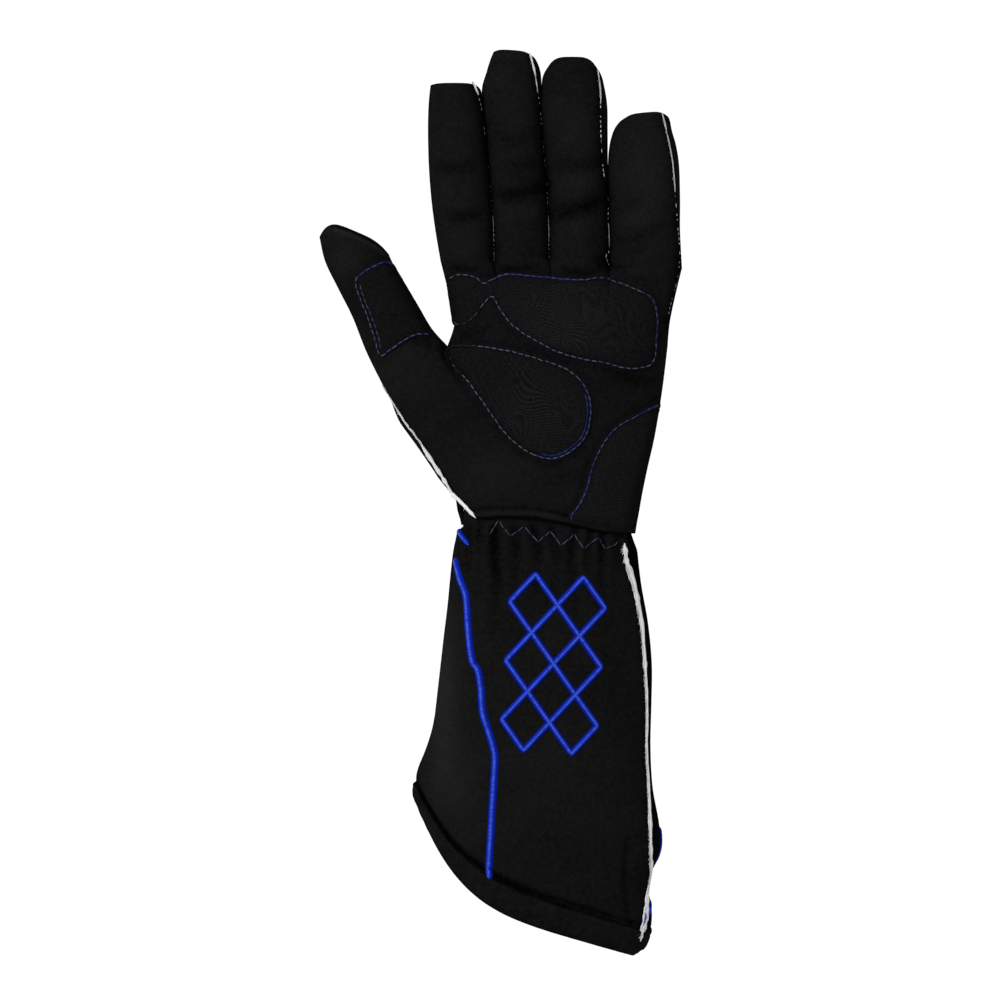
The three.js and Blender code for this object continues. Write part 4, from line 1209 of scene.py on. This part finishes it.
# The paler blue is the painted highlight along the thread's middle
SATIN_FINISH = satin_thread("blue_satin_thread", deep=(0.0012, 0.010, 0.27), highlight_blue=(0.048, 0.100, 0.62))
PALE_FINISH = stitch_thread(
    "blue_and_pale_stitches", navy=(0.0035, 0.0033, 0.0072), blue=(0.005, 0.010, 0.072),
    pale=(0.084, 0.081, 0.108))
WHITE_FINISH = raw_fibre("white_raw_edge", dark=(0.04, 0.04, 0.042), light=(0.86, 0.86, 0.88))


# The cloth panels

hand = hand_net(columns=26, upper_rows=48, heel_rows=100, finger_rows=100, cut=True)
hand_points, hand_nap_and_painted_light = cloth_faces(hand, palm_relief)
palm_panel, palm_flat, palm_area = panel("palm_cloth", "palm_panel", hand, hand_points, hand_nap_and_painted_light)

hand_back = hand_net(columns=14, upper_rows=22, heel_rows=44, finger_rows=50)
back_panel, back_flat, back_area = panel(
    "back_cloth", "back_panel", hand_back, *back_face(hand_back, seed=21), turned=True)

gauntlet = gauntlet_net(columns=150, rows=190)
gauntlet_points, gauntlet_nap_and_painted_light = cloth_faces(gauntlet, gauntlet_relief)
gauntlet_panel, gauntlet_flat, gauntlet_area = panel(
    "gauntlet_palm_cloth", "gauntlet_palm_panel", gauntlet, gauntlet_points, gauntlet_nap_and_painted_light)

gauntlet_under = gauntlet_net(columns=70, rows=90)
under_panel, under_flat, under_area = panel(
    "gauntlet_back_cloth", "gauntlet_back_panel", gauntlet_under, *back_face(gauntlet_under, seed=22),
    turned=True)

HAND_MAP = height_map(hand_points, hand["quads"])
GAUNTLET_MAP = height_map(gauntlet_points, gauntlet["quads"])


# The binding round the cuff's mouth

# The folded strip's section: along: distance down from its upper edge; out: height over the cloth's face
BINDING_SECTION = table(
    "along out",
    (0.0, -0.9), (0.5, -0.3), (1.0, 0.5), (1.6, 1.1), (2.3, 1.25), (2.8, 1.0), (3.4, 1.25), (4.4, 1.3),
    (5.9, 1.15), (7.1, 0.6), (7.7, -0.3), (7.7, -1.4), (7.1, -2.4), (5.9, -2.95), (3.0, -3.1),
    (0.4, -2.95), (0.0, -2.5), (0.1, -2.1), (3.0, -2.1), (6.1, -2.05), (6.6, -1.6), (6.6, -0.2),
    (6.1, 0.2), (3.0, 0.22),
)


def mouth_ring(along, steps):
    """The cuff's outer face at one share along, right round: across the palm side and back under it."""
    form = gauntlet_form(gauntlet_shares(steps), along)
    rise, _ = gauntlet_relief(form["x"], form["y"])
    front = form["middle"] + SEAM_GAP / 2 + form["front"] + rise * smooth_step(0, EDGE_FADE, form["front"])
    back = underside(form)
    front[[0, -1]] = back[[0, -1]] = form["middle"][[0, -1]]
    palm_side = np.stack([form["x"], form["y"], front], axis=1)[:-1]
    back_side = np.stack([form["x"], form["y"], back], axis=1)[:0:-1]
    return np.concatenate([palm_side, back_side])


def hem_binding():
    """The section carried round the mouth: down the cuff's length and out along its faces' normals."""
    top, edge = mouth_ring(1 - BINDING_SHARE, 150), mouth_ring(1.0, 150)
    down = unit(edge - top)
    round_it = np.roll(edge, -1, axis=0) - np.roll(edge, 1, axis=0)
    out = unit(np.cross(down, round_it))
    section_along, section_out = np.array([[row["along"], row["out"]] for row in BINDING_SECTION]).T
    length = np.linalg.norm(edge - top, axis=1)[:, None, None]
    along = section_along[None, :, None] * length / BINDING_WIDTH
    pucker = 0.12 * np.sin(np.arange(len(top)) * 0.9)[:, None] * (section_out > 0)
    points = top[:, None] + down[:, None] * along + out[:, None] * (section_out + pucker)[..., None]
    points[..., 2] = np.maximum(points[..., 2], 0.0)
    ids = np.pad(np.arange(pucker.size).reshape(pucker.shape), (0, 1), mode="wrap")
    # Painted shadow in the groove along the binding's upper edge, fading round the ring from its start
    shadow = np.linspace(0.95, 0.45, len(top))[:, None] * (section_along < 1.3)
    nap_and_painted_light = 0.2 * soft_noise(points[..., 0], points[..., 1], 5, 51) - shadow
    return points.reshape(-1, 3), grid_quads(ids), nap_and_painted_light.ravel()


binding_points, binding_quads, binding_nap_and_shadow = hem_binding()
add_piece("hem_fold", binding_points, binding_quads, BINDING_FINISH, {"nap_and_painted_light": binding_nap_and_shadow},
          replaces=["hem_binding"])


# Grip patches

WAVE_PITCH = 1.45
WAVE_DOT_PITCH = 1.15
LINE_DOT_PITCH = 1.2
PATCH_SINK = 0.55


def patch_grid(node, spacing):
    """A patch's plan as rows between its four sides: each point is the mean of the straight blends from
    side to side and from end to end, less the blend of the corners."""
    outline, corners = outline_of(PATCH_SIDES[node])
    outline = pushed_out(outline, PATCH_MARGIN)
    ends = corners[1:] + [corners[0] + len(outline)]
    sides = [stretch(outline, start, end) for start, end in zip(corners, ends)]
    bottom, right, top, left = sides[0], sides[1], sides[2][::-1], sides[3][::-1]
    columns, rows = (
        int(max(step_lengths(side).sum() for side in pair) / spacing)
        for pair in ((bottom, top), (left, right)))

    def cut(side, count):
        return even(side, step_lengths(side).sum() / count)[0]

    bottom, top = cut(bottom, columns)[None, :], cut(top, columns)[None, :]
    left, right = cut(left, rows)[:, None], cut(right, rows)[:, None]
    s, t = np.linspace(0, 1, columns + 1)[None, :, None], np.linspace(0, 1, rows + 1)[:, None, None]
    ends = mix(mix(bottom[:, :1], bottom[:, -1:], s), mix(top[:, :1], top[:, -1:], s), t)
    return mix(bottom, top, t) + mix(left, right, s) - ends, outline


def wave_rows(x, y, middle, clear, reach):
    """Rows of print that run in waves round a middle: lighter where the distance from it, bent by a slow
    wave, is near a whole number of pitches. Along a row the dots follow the turn round the middle. The
    print shows strongly near one place, and faintly elsewhere."""
    dx, dy = x - middle[0], (y - middle[1]) * 1.5
    apart = np.hypot(dx, dy) + 5.0 * soft_noise(x, y, 15, 61) + 1.6 * np.sin(x / 3.4 + y / 6.5)
    row = 0.5 + 0.5 * np.cos(2 * np.pi * apart / WAVE_PITCH)
    dots = 0.55 + 0.45 * np.cos(2 * np.pi * (np.arctan2(dy, dx) * np.maximum(apart, 4) / WAVE_DOT_PITCH))
    off = np.hypot(x - clear[0], y - clear[1]) + 3 * soft_noise(x, y, 8, 62)
    return row**2 * (0.15 + 0.85 * hill(off, reach)), dots


def line_rows(x, y, turn, pitch, strength):
    """Fine straight rows of print at an angle, broken into dots."""
    along, aside = x * np.cos(turn) + y * np.sin(turn), -x * np.sin(turn) + y * np.cos(turn)
    row = 0.5 + 0.5 * np.cos(2 * np.pi * aside / pitch)
    return strength * row**2, 0.6 + 0.4 * np.cos(2 * np.pi * along / LINE_DOT_PITCH)


def grip_patch(name, node, spacing, print_rows):
    """A patch laid over the palm: raised, crowned, drawn down along its stitch line and puckered there."""
    plan, outline = patch_grid(node, spacing)
    x, y = plan[..., 0], plan[..., 1]
    edge, place = nearest_on(x, y, np.concatenate([outline, outline[:1]]))
    row, dots = print_rows(x, y)
    row = row * smooth_step(1.8, 4.2, edge)
    rise = PATCH_LIFT * (1 - np.exp(-edge / 0.55)) + 0.35 * (1 - np.exp(-edge / 7))
    tight = 0.75 + 0.25 * np.cos(2 * np.pi * place / STITCH_PITCH)
    rise -= 0.42 * hill(edge - PATCH_MARGIN, 0.55) * tight
    rise += 0.10 * np.sin(2 * np.pi * place / 5.3 + soft_noise(x, y, 9, 71)) * hill(edge, 4.0)
    rise += 0.16 * row * dots
    top, normals = laid_on(HAND_MAP, plan)
    outer = (top + (rise - 0.12)[..., None] * normals).reshape(-1, 3)
    inner = (top - PATCH_SINK * normals).reshape(-1, 3)
    quads = grid_quads(np.arange(x.size).reshape(x.shape)[::-1])
    points, cells = closed_sheet(outer, inner, quads)
    attributes = {"row": np.tile(row.ravel(), 2), "dots": np.tile(dots.ravel(), 2)}
    piece = add_piece(name, points, cells, GRIP_FINISH, attributes, replaces=[node])
    cloth_area(outer, quads) * FLAT_SHARE


grip_patch("knuckle_grip", "knuckle_patch", 0.42,
           lambda x, y: wave_rows(x, y, middle=(-12, 60), clear=(5, 80), reach=19))
grip_patch("palm_grip", "palm_patch", 0.42,
           lambda x, y: wave_rows(x, y, middle=(16, 68), clear=(-5, 44), reach=17))
grip_patch("thumb_grip", "thumb_patch", 0.5,
           lambda x, y: line_rows(x, y, turn=1.15, pitch=1.3, strength=0.16))
grip_patch("heel_grip", "heel_patch", 0.5,
           lambda x, y: line_rows(x, y, turn=-0.16, pitch=1.05, strength=0.6))


# Stitching round the patches

# Stretches of the stitch lines, as shares of each outline. from and to: shares; offset: distance inwards;
# pale: how pale the stitches are there; blue: how blue the thread under them is.
PATCH_STITCHES = {
    "knuckle_patch": table(
        "from to offset pale blue",
        (0.0, 0.1, 0.0, 0.3, 0.0), (0.1, 0.43, 0.0, 0.85, 0.1), (0.43, 0.54, 0.0, 0.35, 0.35),
        (0.54, 0.66, 0.0, 0.7, 0.15), (0.66, 0.76, 0.0, 0.5, 0.9), (0.76, 0.89, 0.0, 0.75, 0.15),
    ),
    "palm_patch": table(
        "from to offset pale blue",
        (0.0, 0.07, 0.0, 0.25, 0.0), (0.07, 0.33, 0.0, 0.95, 0.12), (0.33, 0.46, 0.0, 0.75, 0.7),
        (0.46, 0.66, 0.0, 0.6, 0.45), (0.66, 0.9, 0.0, 0.9, 0.08), (0.9, 0.97, 0.0, 0.3, 0.0),
        (0.36, 0.62, 1.3, 0.22, 0.75),
    ),
    "thumb_patch": table(
        "from to offset pale blue",
        (0.0, 0.24, 0.0, 0.72, 0.4), (0.5, 0.7, 0.0, 0.45, 0.75), (0.7, 1.0, 0.0, 0.8, 0.2),
        (0.76, 0.97, 1.5, 0.45, 0.2),
    ),
    "heel_patch": table(
        "from to offset pale blue",
        (0.49, 0.56, 0.0, 0.25, 0.8), (0.56, 0.84, 0.0, 0.5, 0.35), (0.84, 1.0, 0.0, 0.4, 1.0),
    ),
}


def thread_run(heights, route, lift, row, seed):
    """A line of stitches: one flat dark thread, and a paler stitch bowed over it at each pitch."""
    route, _ = even(route, STITCH_PITCH / 2)
    points, normals = laid_on(heights, route, lift)
    ahead, across, _ = axes_along(points, normals)
    random = np.random.default_rng(seed)
    middle = slice(1, None, 2)
    count = len(points[middle])
    turn = random.normal(0, 0.05, count)[:, None]
    direction = unit(ahead[middle] + turn * across[middle])
    length = STITCH_LENGTH * random.uniform(0.9, 1.08, count)
    centre = points[middle] + random.normal(0, 0.07, (count, 1)) * across[middle] + 0.12 * normals[middle]
    over, each = copies(
        centre, direction, normals[middle], length, THREAD_WIDTH, 0.5 * THREAD_WIDTH, arch=0.16)
    tone = np.clip(random.normal(row["pale"], 0.13, count), 0, 1)
    under = tube(*laid_on(heights, even(route, 0.6)[0], lift), width=UNDER_WIDTH, height=0.4)
    tones = np.concatenate([np.repeat(tone, each), np.zeros(len(under[0]))])
    return joined([over, under]), {"tone": tones, "blue": np.full(len(tones), row["blue"])}


def threads_piece(name, runs, finish, replaces=()):
    """One piece from several runs of thread, each a mesh with its attributes."""
    meshes, attributes = zip(*runs)
    points, quads, triangles = joined(meshes)
    values = {key: np.concatenate([run[key] for run in attributes]) for key in attributes[0]}
    add_piece(name, points, quads, finish, values, triangles, replaces)


def patch_stitches(node):
    """The stitch lines round one patch: a run of thread for each row of its table."""
    outline, _ = outline_of(PATCH_SIDES[node])
    runs = []
    for number, row in enumerate(PATCH_STITCHES[node]):
        start, end = int(row["from"] * len(outline)), int(row["to"] * len(outline))
        route = stretch(pushed_out(outline, -row["offset"]), start, end)
        runs.append(thread_run(HAND_MAP, route, PATCH_LIFT - 0.1, row, 100 + number))
    threads_piece(f"{node}_stitches", runs, PALE_FINISH)


for node in PATCH_SIDES:
    patch_stitches(node)


def zigzag_stitches():
    """The elastic's zigzag: each leg is two stitches that meet in the middle, drawn tight at the peaks."""
    points = np.array(ZIGZAG)
    legs = [mix(points[:-1], points[1:], share) for share in (0.27, 0.75)]
    centres = np.stack(legs, axis=1).reshape(-1, 2)
    ahead = np.repeat(points[1:] - points[:-1], 2, axis=0)
    length = np.linalg.norm(ahead, axis=1) / 2 * 0.96
    placed, normals = laid_on(GAUNTLET_MAP, centres, 0.28)
    tangent = np.concatenate([ahead, np.zeros((len(ahead), 1))], axis=1)
    tangent = unit(tangent - (tangent * normals).sum(axis=1, keepdims=True) * normals)
    random = np.random.default_rng(7)
    over, each = copies(placed, tangent, normals, length, THREAD_WIDTH, height=0.4, arch=0.12)
    under, _ = copies(placed - 0.1 * normals, tangent, normals, length * 1.08, UNDER_WIDTH, height=0.3)
    pale = np.clip(random.normal(0.66, 0.2, len(centres)), 0, 1)
    tone = np.concatenate([np.repeat(pale, each), np.zeros(len(under[0]))])
    return joined([over, under]), {"tone": tone, "blue": np.full(len(tone), 0.3)}


threads_piece("wrist_zigzag", [zigzag_stitches()], PALE_FINISH)


# Raw seams

HAIR_LENGTH = 1.7
DASH_SPACING = 1.9


def frayed_edge(points, normals, seed, count, length, width):
    """Loose fibres that stick out of a raw edge to its right and down, each a thin tapering thread."""
    random = np.random.default_rng(seed)
    pick = random.integers(1, len(points) - 1, count)
    ahead, across, lift = axes_along(points, normals)
    lean = random.normal(0.55, 0.35, (count, 1))
    direction = unit(across[pick] + lean * ahead[pick] + random.uniform(0, 0.35, (count, 1)) * lift[pick])
    size = length * random.uniform(0.4, 1.0, count)
    half = np.broadcast_to(width, len(points))[pick][:, None] / 2
    start = points[pick] + across[pick] * half * random.uniform(0.1, 0.9, (count, 1))
    centre = start + direction * size[:, None] / 2
    hairs, each = copies(
        centre, direction, normals[pick], size, width=0.28, height=0.24, sides=4, taper=(1.0, 0.7, 0.25))
    return hairs, np.repeat(random.uniform(0.45, 1.0, count), each)


def raw_strands(points, normals, width, strands, fray, random, wobble):
    """A raw cloth edge: a flat white core with fine wavering strands along it and loose fibres beside."""
    _, across, up = axes_along(points, normals)
    place = np.arange(len(points)) * STRAND_STEP

    def wander(step, spread):
        """Random values at even steps along the edge, mixed evenly between them."""
        knots = np.arange(0, place[-1] + 4, step)
        return np.interp(place, knots, random.normal(0, spread, len(knots)))

    ragged = 1 + 0.22 * wander(1.7, 1)
    taper = np.clip(np.minimum(place, place[-1] - place) / 2.5, 0.25, 1)
    parts = [tube(points, normals, width * 0.8 * taper * ragged, 0.75)]
    tones = [np.full(len(parts[0][0]), 0.6)]
    for offset in np.linspace(-0.5, 0.5, strands):
        waver = wander(2.3, wobble)
        shift = (offset * width * 0.86 * ragged + waver * 0.6) * taper
        height = 0.3 * (1 - (2 * offset) ** 2) + 0.18 + 0.1 * waver
        route = points + across * shift[:, None] + up * height[:, None]
        parts.append(tube(route, normals, (0.42 + 0.12 * np.abs(waver)) * taper, 0.36, sides=6))
        tones.append(np.full(len(parts[-1][0]), random.uniform(0.65, 1.0)))
    if fray:
        seed = int(random.integers(1000))
        hairs, tone = frayed_edge(points + 0.3 * up, normals, seed, fray, HAIR_LENGTH, width)
        parts.append(hairs)
        tones.append(tone)
    return joined(parts), np.concatenate(tones)


# How each finger's seam shows along its length. from and to: shares of the route; width: of a raw edge
# there, or none for small separate stitches; tone: how white, partly the seam's own white and partly
# painted shade where it lies deep in its slit
SEAM_STRETCHES = {
    "index_seam": table(
        "from to width tone",
        (0.0, 0.09, 0.9, 0.9), (0.09, 0.22, 0, 0.3), (0.22, 0.76, 0, 0.08), (0.76, 0.84, 0.35, 0.95),
        (0.84, 1.0, 0, 0.95),
    ),
    "middle_seam": table(
        "from to width tone",
        (0.0, 0.12, 0.8, 0.85), (0.12, 0.2, 0.3, 0.7), (0.2, 0.3, 0, 0.5), (0.3, 0.8, 0, 0.22),
        (0.8, 0.92, 0.35, 0.95), (0.92, 1.0, 0, 0.95),
    ),
    "ring_seam": table(
        "from to width tone",
        (0.0, 0.17, 0.35, 0.8), (0.17, 0.42, 0, 0.6), (0.42, 0.78, 0, 0.35), (0.78, 0.9, 0.25, 0.8),
        (0.9, 1.0, 0, 0.75),
    ),
    "little_finger_seam": table(
        "from to width tone",
        (0.0, 0.1, 0.5, 0.8), (0.1, 0.37, 0.25, 0.7), (0.37, 0.7, 0, 0.4), (0.7, 1.0, 0, 0.2),
    ),
}


def finger_seam(node, number):
    """A finger's seam: raw strands where its table gives a width, and separate uneven dashes elsewhere."""
    route = smooth_route(FINGER_SEAMS[node], 0.5)
    runs = []
    for row in SEAM_STRETCHES[node]:
        part = route[int(row["from"] * (len(route) - 1)) : int(row["to"] * (len(route) - 1)) + 1]
        random = np.random.default_rng(300 + number)
        if row["width"]:
            strands = 3 if row["width"] > 0.6 else 1
            points, normals = laid_on(HAND_MAP, even(part, STRAND_STEP)[0], 0.05)
            fray = len(part) // 8
            mesh, tone = raw_strands(points, normals, row["width"], strands, fray, random, wobble=0.1)
            runs.append((mesh, {"tone": tone * row["tone"]}))
            continue
        points, normals = laid_on(HAND_MAP, even(part, DASH_SPACING)[0], 0.1)
        ahead, _, _ = axes_along(points, normals)
        kept = np.flatnonzero(random.uniform(0, 1, len(points)) < 0.35 + row["tone"])
        length = random.uniform(0.5, 1.5, len(kept)) * (1 + 0.4 * row["tone"])
        dashes, each = copies(
            points[kept], ahead[kept], normals[kept], length, width=0.42, height=0.32, arch=0.06)
        tone = row["tone"] * random.uniform(0.1, 1.7, len(kept))
        runs.append((dashes, {"tone": np.repeat(tone, each)}))
    threads_piece(f"{node}_threads", runs, WHITE_FINISH, [node])


for number, node in enumerate(FINGER_SEAMS):
    finger_seam(node, number)


def thumb_side_seam():
    """The raw seam along the palm cloth's left edge, from the thumb's root to the wrist, over the back's
    edge, which stands out a little farther."""
    upper_rows = 20
    form = palm_form(2, upper_rows, 200, cut=True)
    x, y, middle, front = (form[key][upper_rows:, 0] for key in ("x", "y", "middle", "front"))
    over_brim = 1.5 * smooth_step(33, 25, y) * smooth_step(8, 14, y)
    route, _ = even(np.stack([x, y, middle + front + 0.7 + over_brim], axis=1), STRAND_STEP)
    ahead = unit(np.gradient(route[:, :2], axis=0))
    out = np.stack([ahead[:, 1], -ahead[:, 0], 0 * ahead[:, 0]], axis=1)
    wide = mix(0.1, 1.3, smooth_step(47, 40, route[:, 1]))
    points = route + out * (wide / 2 + 0.15)[:, None]
    normals = unit(out * 0.35 + (0, 0, 1))
    mesh, tone = raw_strands(
        points, normals, wide, strands=5, fray=12, random=np.random.default_rng(17), wobble=0.08)
    return mesh, {"tone": tone}


def gauntlet_side_seam():
    """The raw seam down the cuff, as wide as its table says at each distance below the wrist."""
    points, normals = laid_on(GAUNTLET_MAP, smooth_route(GAUNTLET_SEAM, STRAND_STEP), 0.55)
    down, width = ([row[key] for row in SEAM_WIDTHS] for key in ("down", "width"))
    wide = np.interp(-points[:, 1], down, width)
    mesh, tone = raw_strands(
        points, normals, wide, strands=7, fray=520, random=np.random.default_rng(23), wobble=0.24)
    return mesh, {"tone": tone}


threads_piece("thumb_side_raw_edge", [thumb_side_seam()], WHITE_FINISH, ["thumb_side_seam"])
threads_piece("gauntlet_raw_edge", [gauntlet_side_seam()], WHITE_FINISH, ["gauntlet_side_seam"])


# Satin lines and the lattice

def satin_piece(name, node, strips):
    threads_piece(name, strips, SATIN_FINISH, [node])


def satin_line(route, width):
    """A satin strip of one width along a route on the cuff."""
    points, normals = laid_on(GAUNTLET_MAP, smooth_route(route, SATIN_STEP), 0.05)
    # The painted highlight lies a little off the strip's middle
    return strip(points, normals, width, SATIN_HEIGHT, ridge=0.10, highlight_at=0.15)


satin_piece("long_satin_line", "long_blue_line", [satin_line(LONG_LINE, SATIN_WIDTH)])
satin_piece("short_satin_line", "short_blue_line", [satin_line(SHORT_LINE, SHORT_LINE_WIDTH)])


def back_satin_line():
    """The back's line, on the underside of the cuff, with normals from the face on both sides of it."""
    route = smooth_route([(row["side"], row["along"] * (1 - BINDING_SHARE)) for row in BACK_LINE], 0.0008)

    def under(side, along):
        form = gauntlet_form(side, along)
        return np.stack([form["x"], form["y"], underside(form)], axis=1)

    side, along = route[:, 0], route[:, 1]
    points = under(side, along)
    across = under(side + 0.004, along) - under(side - 0.004, along)
    down = under(side, along + 0.01) - under(side, along - 0.01)
    return strip(points, unit(np.cross(across, down)), SATIN_WIDTH, SATIN_HEIGHT, ridge=0.08)


def blue_bit(route):
    """A short thread that lies loose over the cuff beside its seam."""
    points, normals = laid_on(GAUNTLET_MAP, smooth_route(route, SATIN_STEP), 1.0)
    return strip(points, normals, width=0.9, height=0.5, ridge=0.1)


satin_piece("back_satin_line", "back_blue_line", [back_satin_line(), *map(blue_bit, BLUE_BITS)])


def lattice_bars():
    """A lattice of two by three diamonds: the four sides of each, as satin bars between their corners."""
    columns, rows = MOTIF_CELLS
    wide, tall = MOTIF_WIDTH / columns / 2, MOTIF_LENGTH / rows / 2
    turn = math.radians(MOTIF_TILT)
    bars = []
    for column in range(columns):
        for row in range(rows):
            at = np.array([(column - (columns - 1) / 2) * 2 * wide, (row - (rows - 1) / 2) * 2 * tall])
            tips = [at + (0, tall), at + (-wide, 0), at - (0, tall), at + (wide, 0)]
            for side in zip(tips, tips[1:] + tips[:1]):
                x, y = np.array(side).T
                start, end = np.stack([x * math.cos(turn) - y * math.sin(turn),
                                       x * math.sin(turn) + y * math.cos(turn)], axis=1)
                reach = unit(end - start) * SATIN_WIDTH * 0.3
                line, _ = even([start - reach + MOTIF_AT, end + reach + MOTIF_AT], SATIN_STEP)
                points, normals = laid_on(GAUNTLET_MAP, line, 0.05)
                bars.append(strip(points, normals, SATIN_WIDTH * 0.82, SATIN_HEIGHT * 0.85, ridge=0.10))
    return bars


satin_piece("satin_lattice", "lattice_motif", lattice_bars())


# Floor, light and camera

FLOOR_SIZE = 4.0
FLOOR_GAP = 0.0005
CAMERA_AT = (-0.00051, 0.00059, 2.015)

floor_mesh = bpy.data.meshes.new("floor")
half = FLOOR_SIZE / 2
floor_corners = [(-half, -half, 0), (half, -half, 0), (half, half, 0), (-half, half, 0)]
floor_mesh.from_pydata(floor_corners, [], [(0, 1, 2, 3)])
floor_mesh.materials.append(plain_floor())
floor = bpy.data.objects.new("floor", floor_mesh)
floor.location = (0, 0, -FLOOR_GAP)
bpy.context.scene.collection.objects.link(floor)


def softbox(name, at, size, energy):
    """A round soft light, turned to face the glove."""
    light = bpy.data.lights.new(name, "AREA")
    light.shape = "DISK"
    light.size = size
    light.energy = energy
    lamp = bpy.data.objects.new(name, light)
    lamp.location = at
    to_glove = -np.array(at)
    tilt = math.atan2(math.hypot(to_glove[0], to_glove[1]), -to_glove[2])
    lamp.rotation_euler = (tilt, 0, math.atan2(to_glove[1], to_glove[0]) - math.pi / 2)
    bpy.context.scene.collection.objects.link(lamp)


softbox("key_softbox", at=(-1.0, 0.9, 1.3), size=0.6, energy=26)
softbox("fill_softbox", at=(1.1, -0.4, 1.6), size=1.2, energy=6)

world = bpy.data.worlds.new("white_room")
world.use_nodes = True
background = world.node_tree.nodes["Background"]
background.inputs["Color"].default_value = (1, 1, 1, 1)
background.inputs["Strength"].default_value = 0.45
scene = bpy.context.scene
scene.world = world
scene.view_settings.view_transform = "Standard"

camera_data = bpy.data.cameras.new("camera")
camera_data.lens = 180
camera_data.sensor_width = 36
camera_data.clip_end = 20
camera = bpy.data.objects.new("camera", camera_data)
camera.location = CAMERA_AT
scene.collection.objects.link(camera)
scene.camera = camera
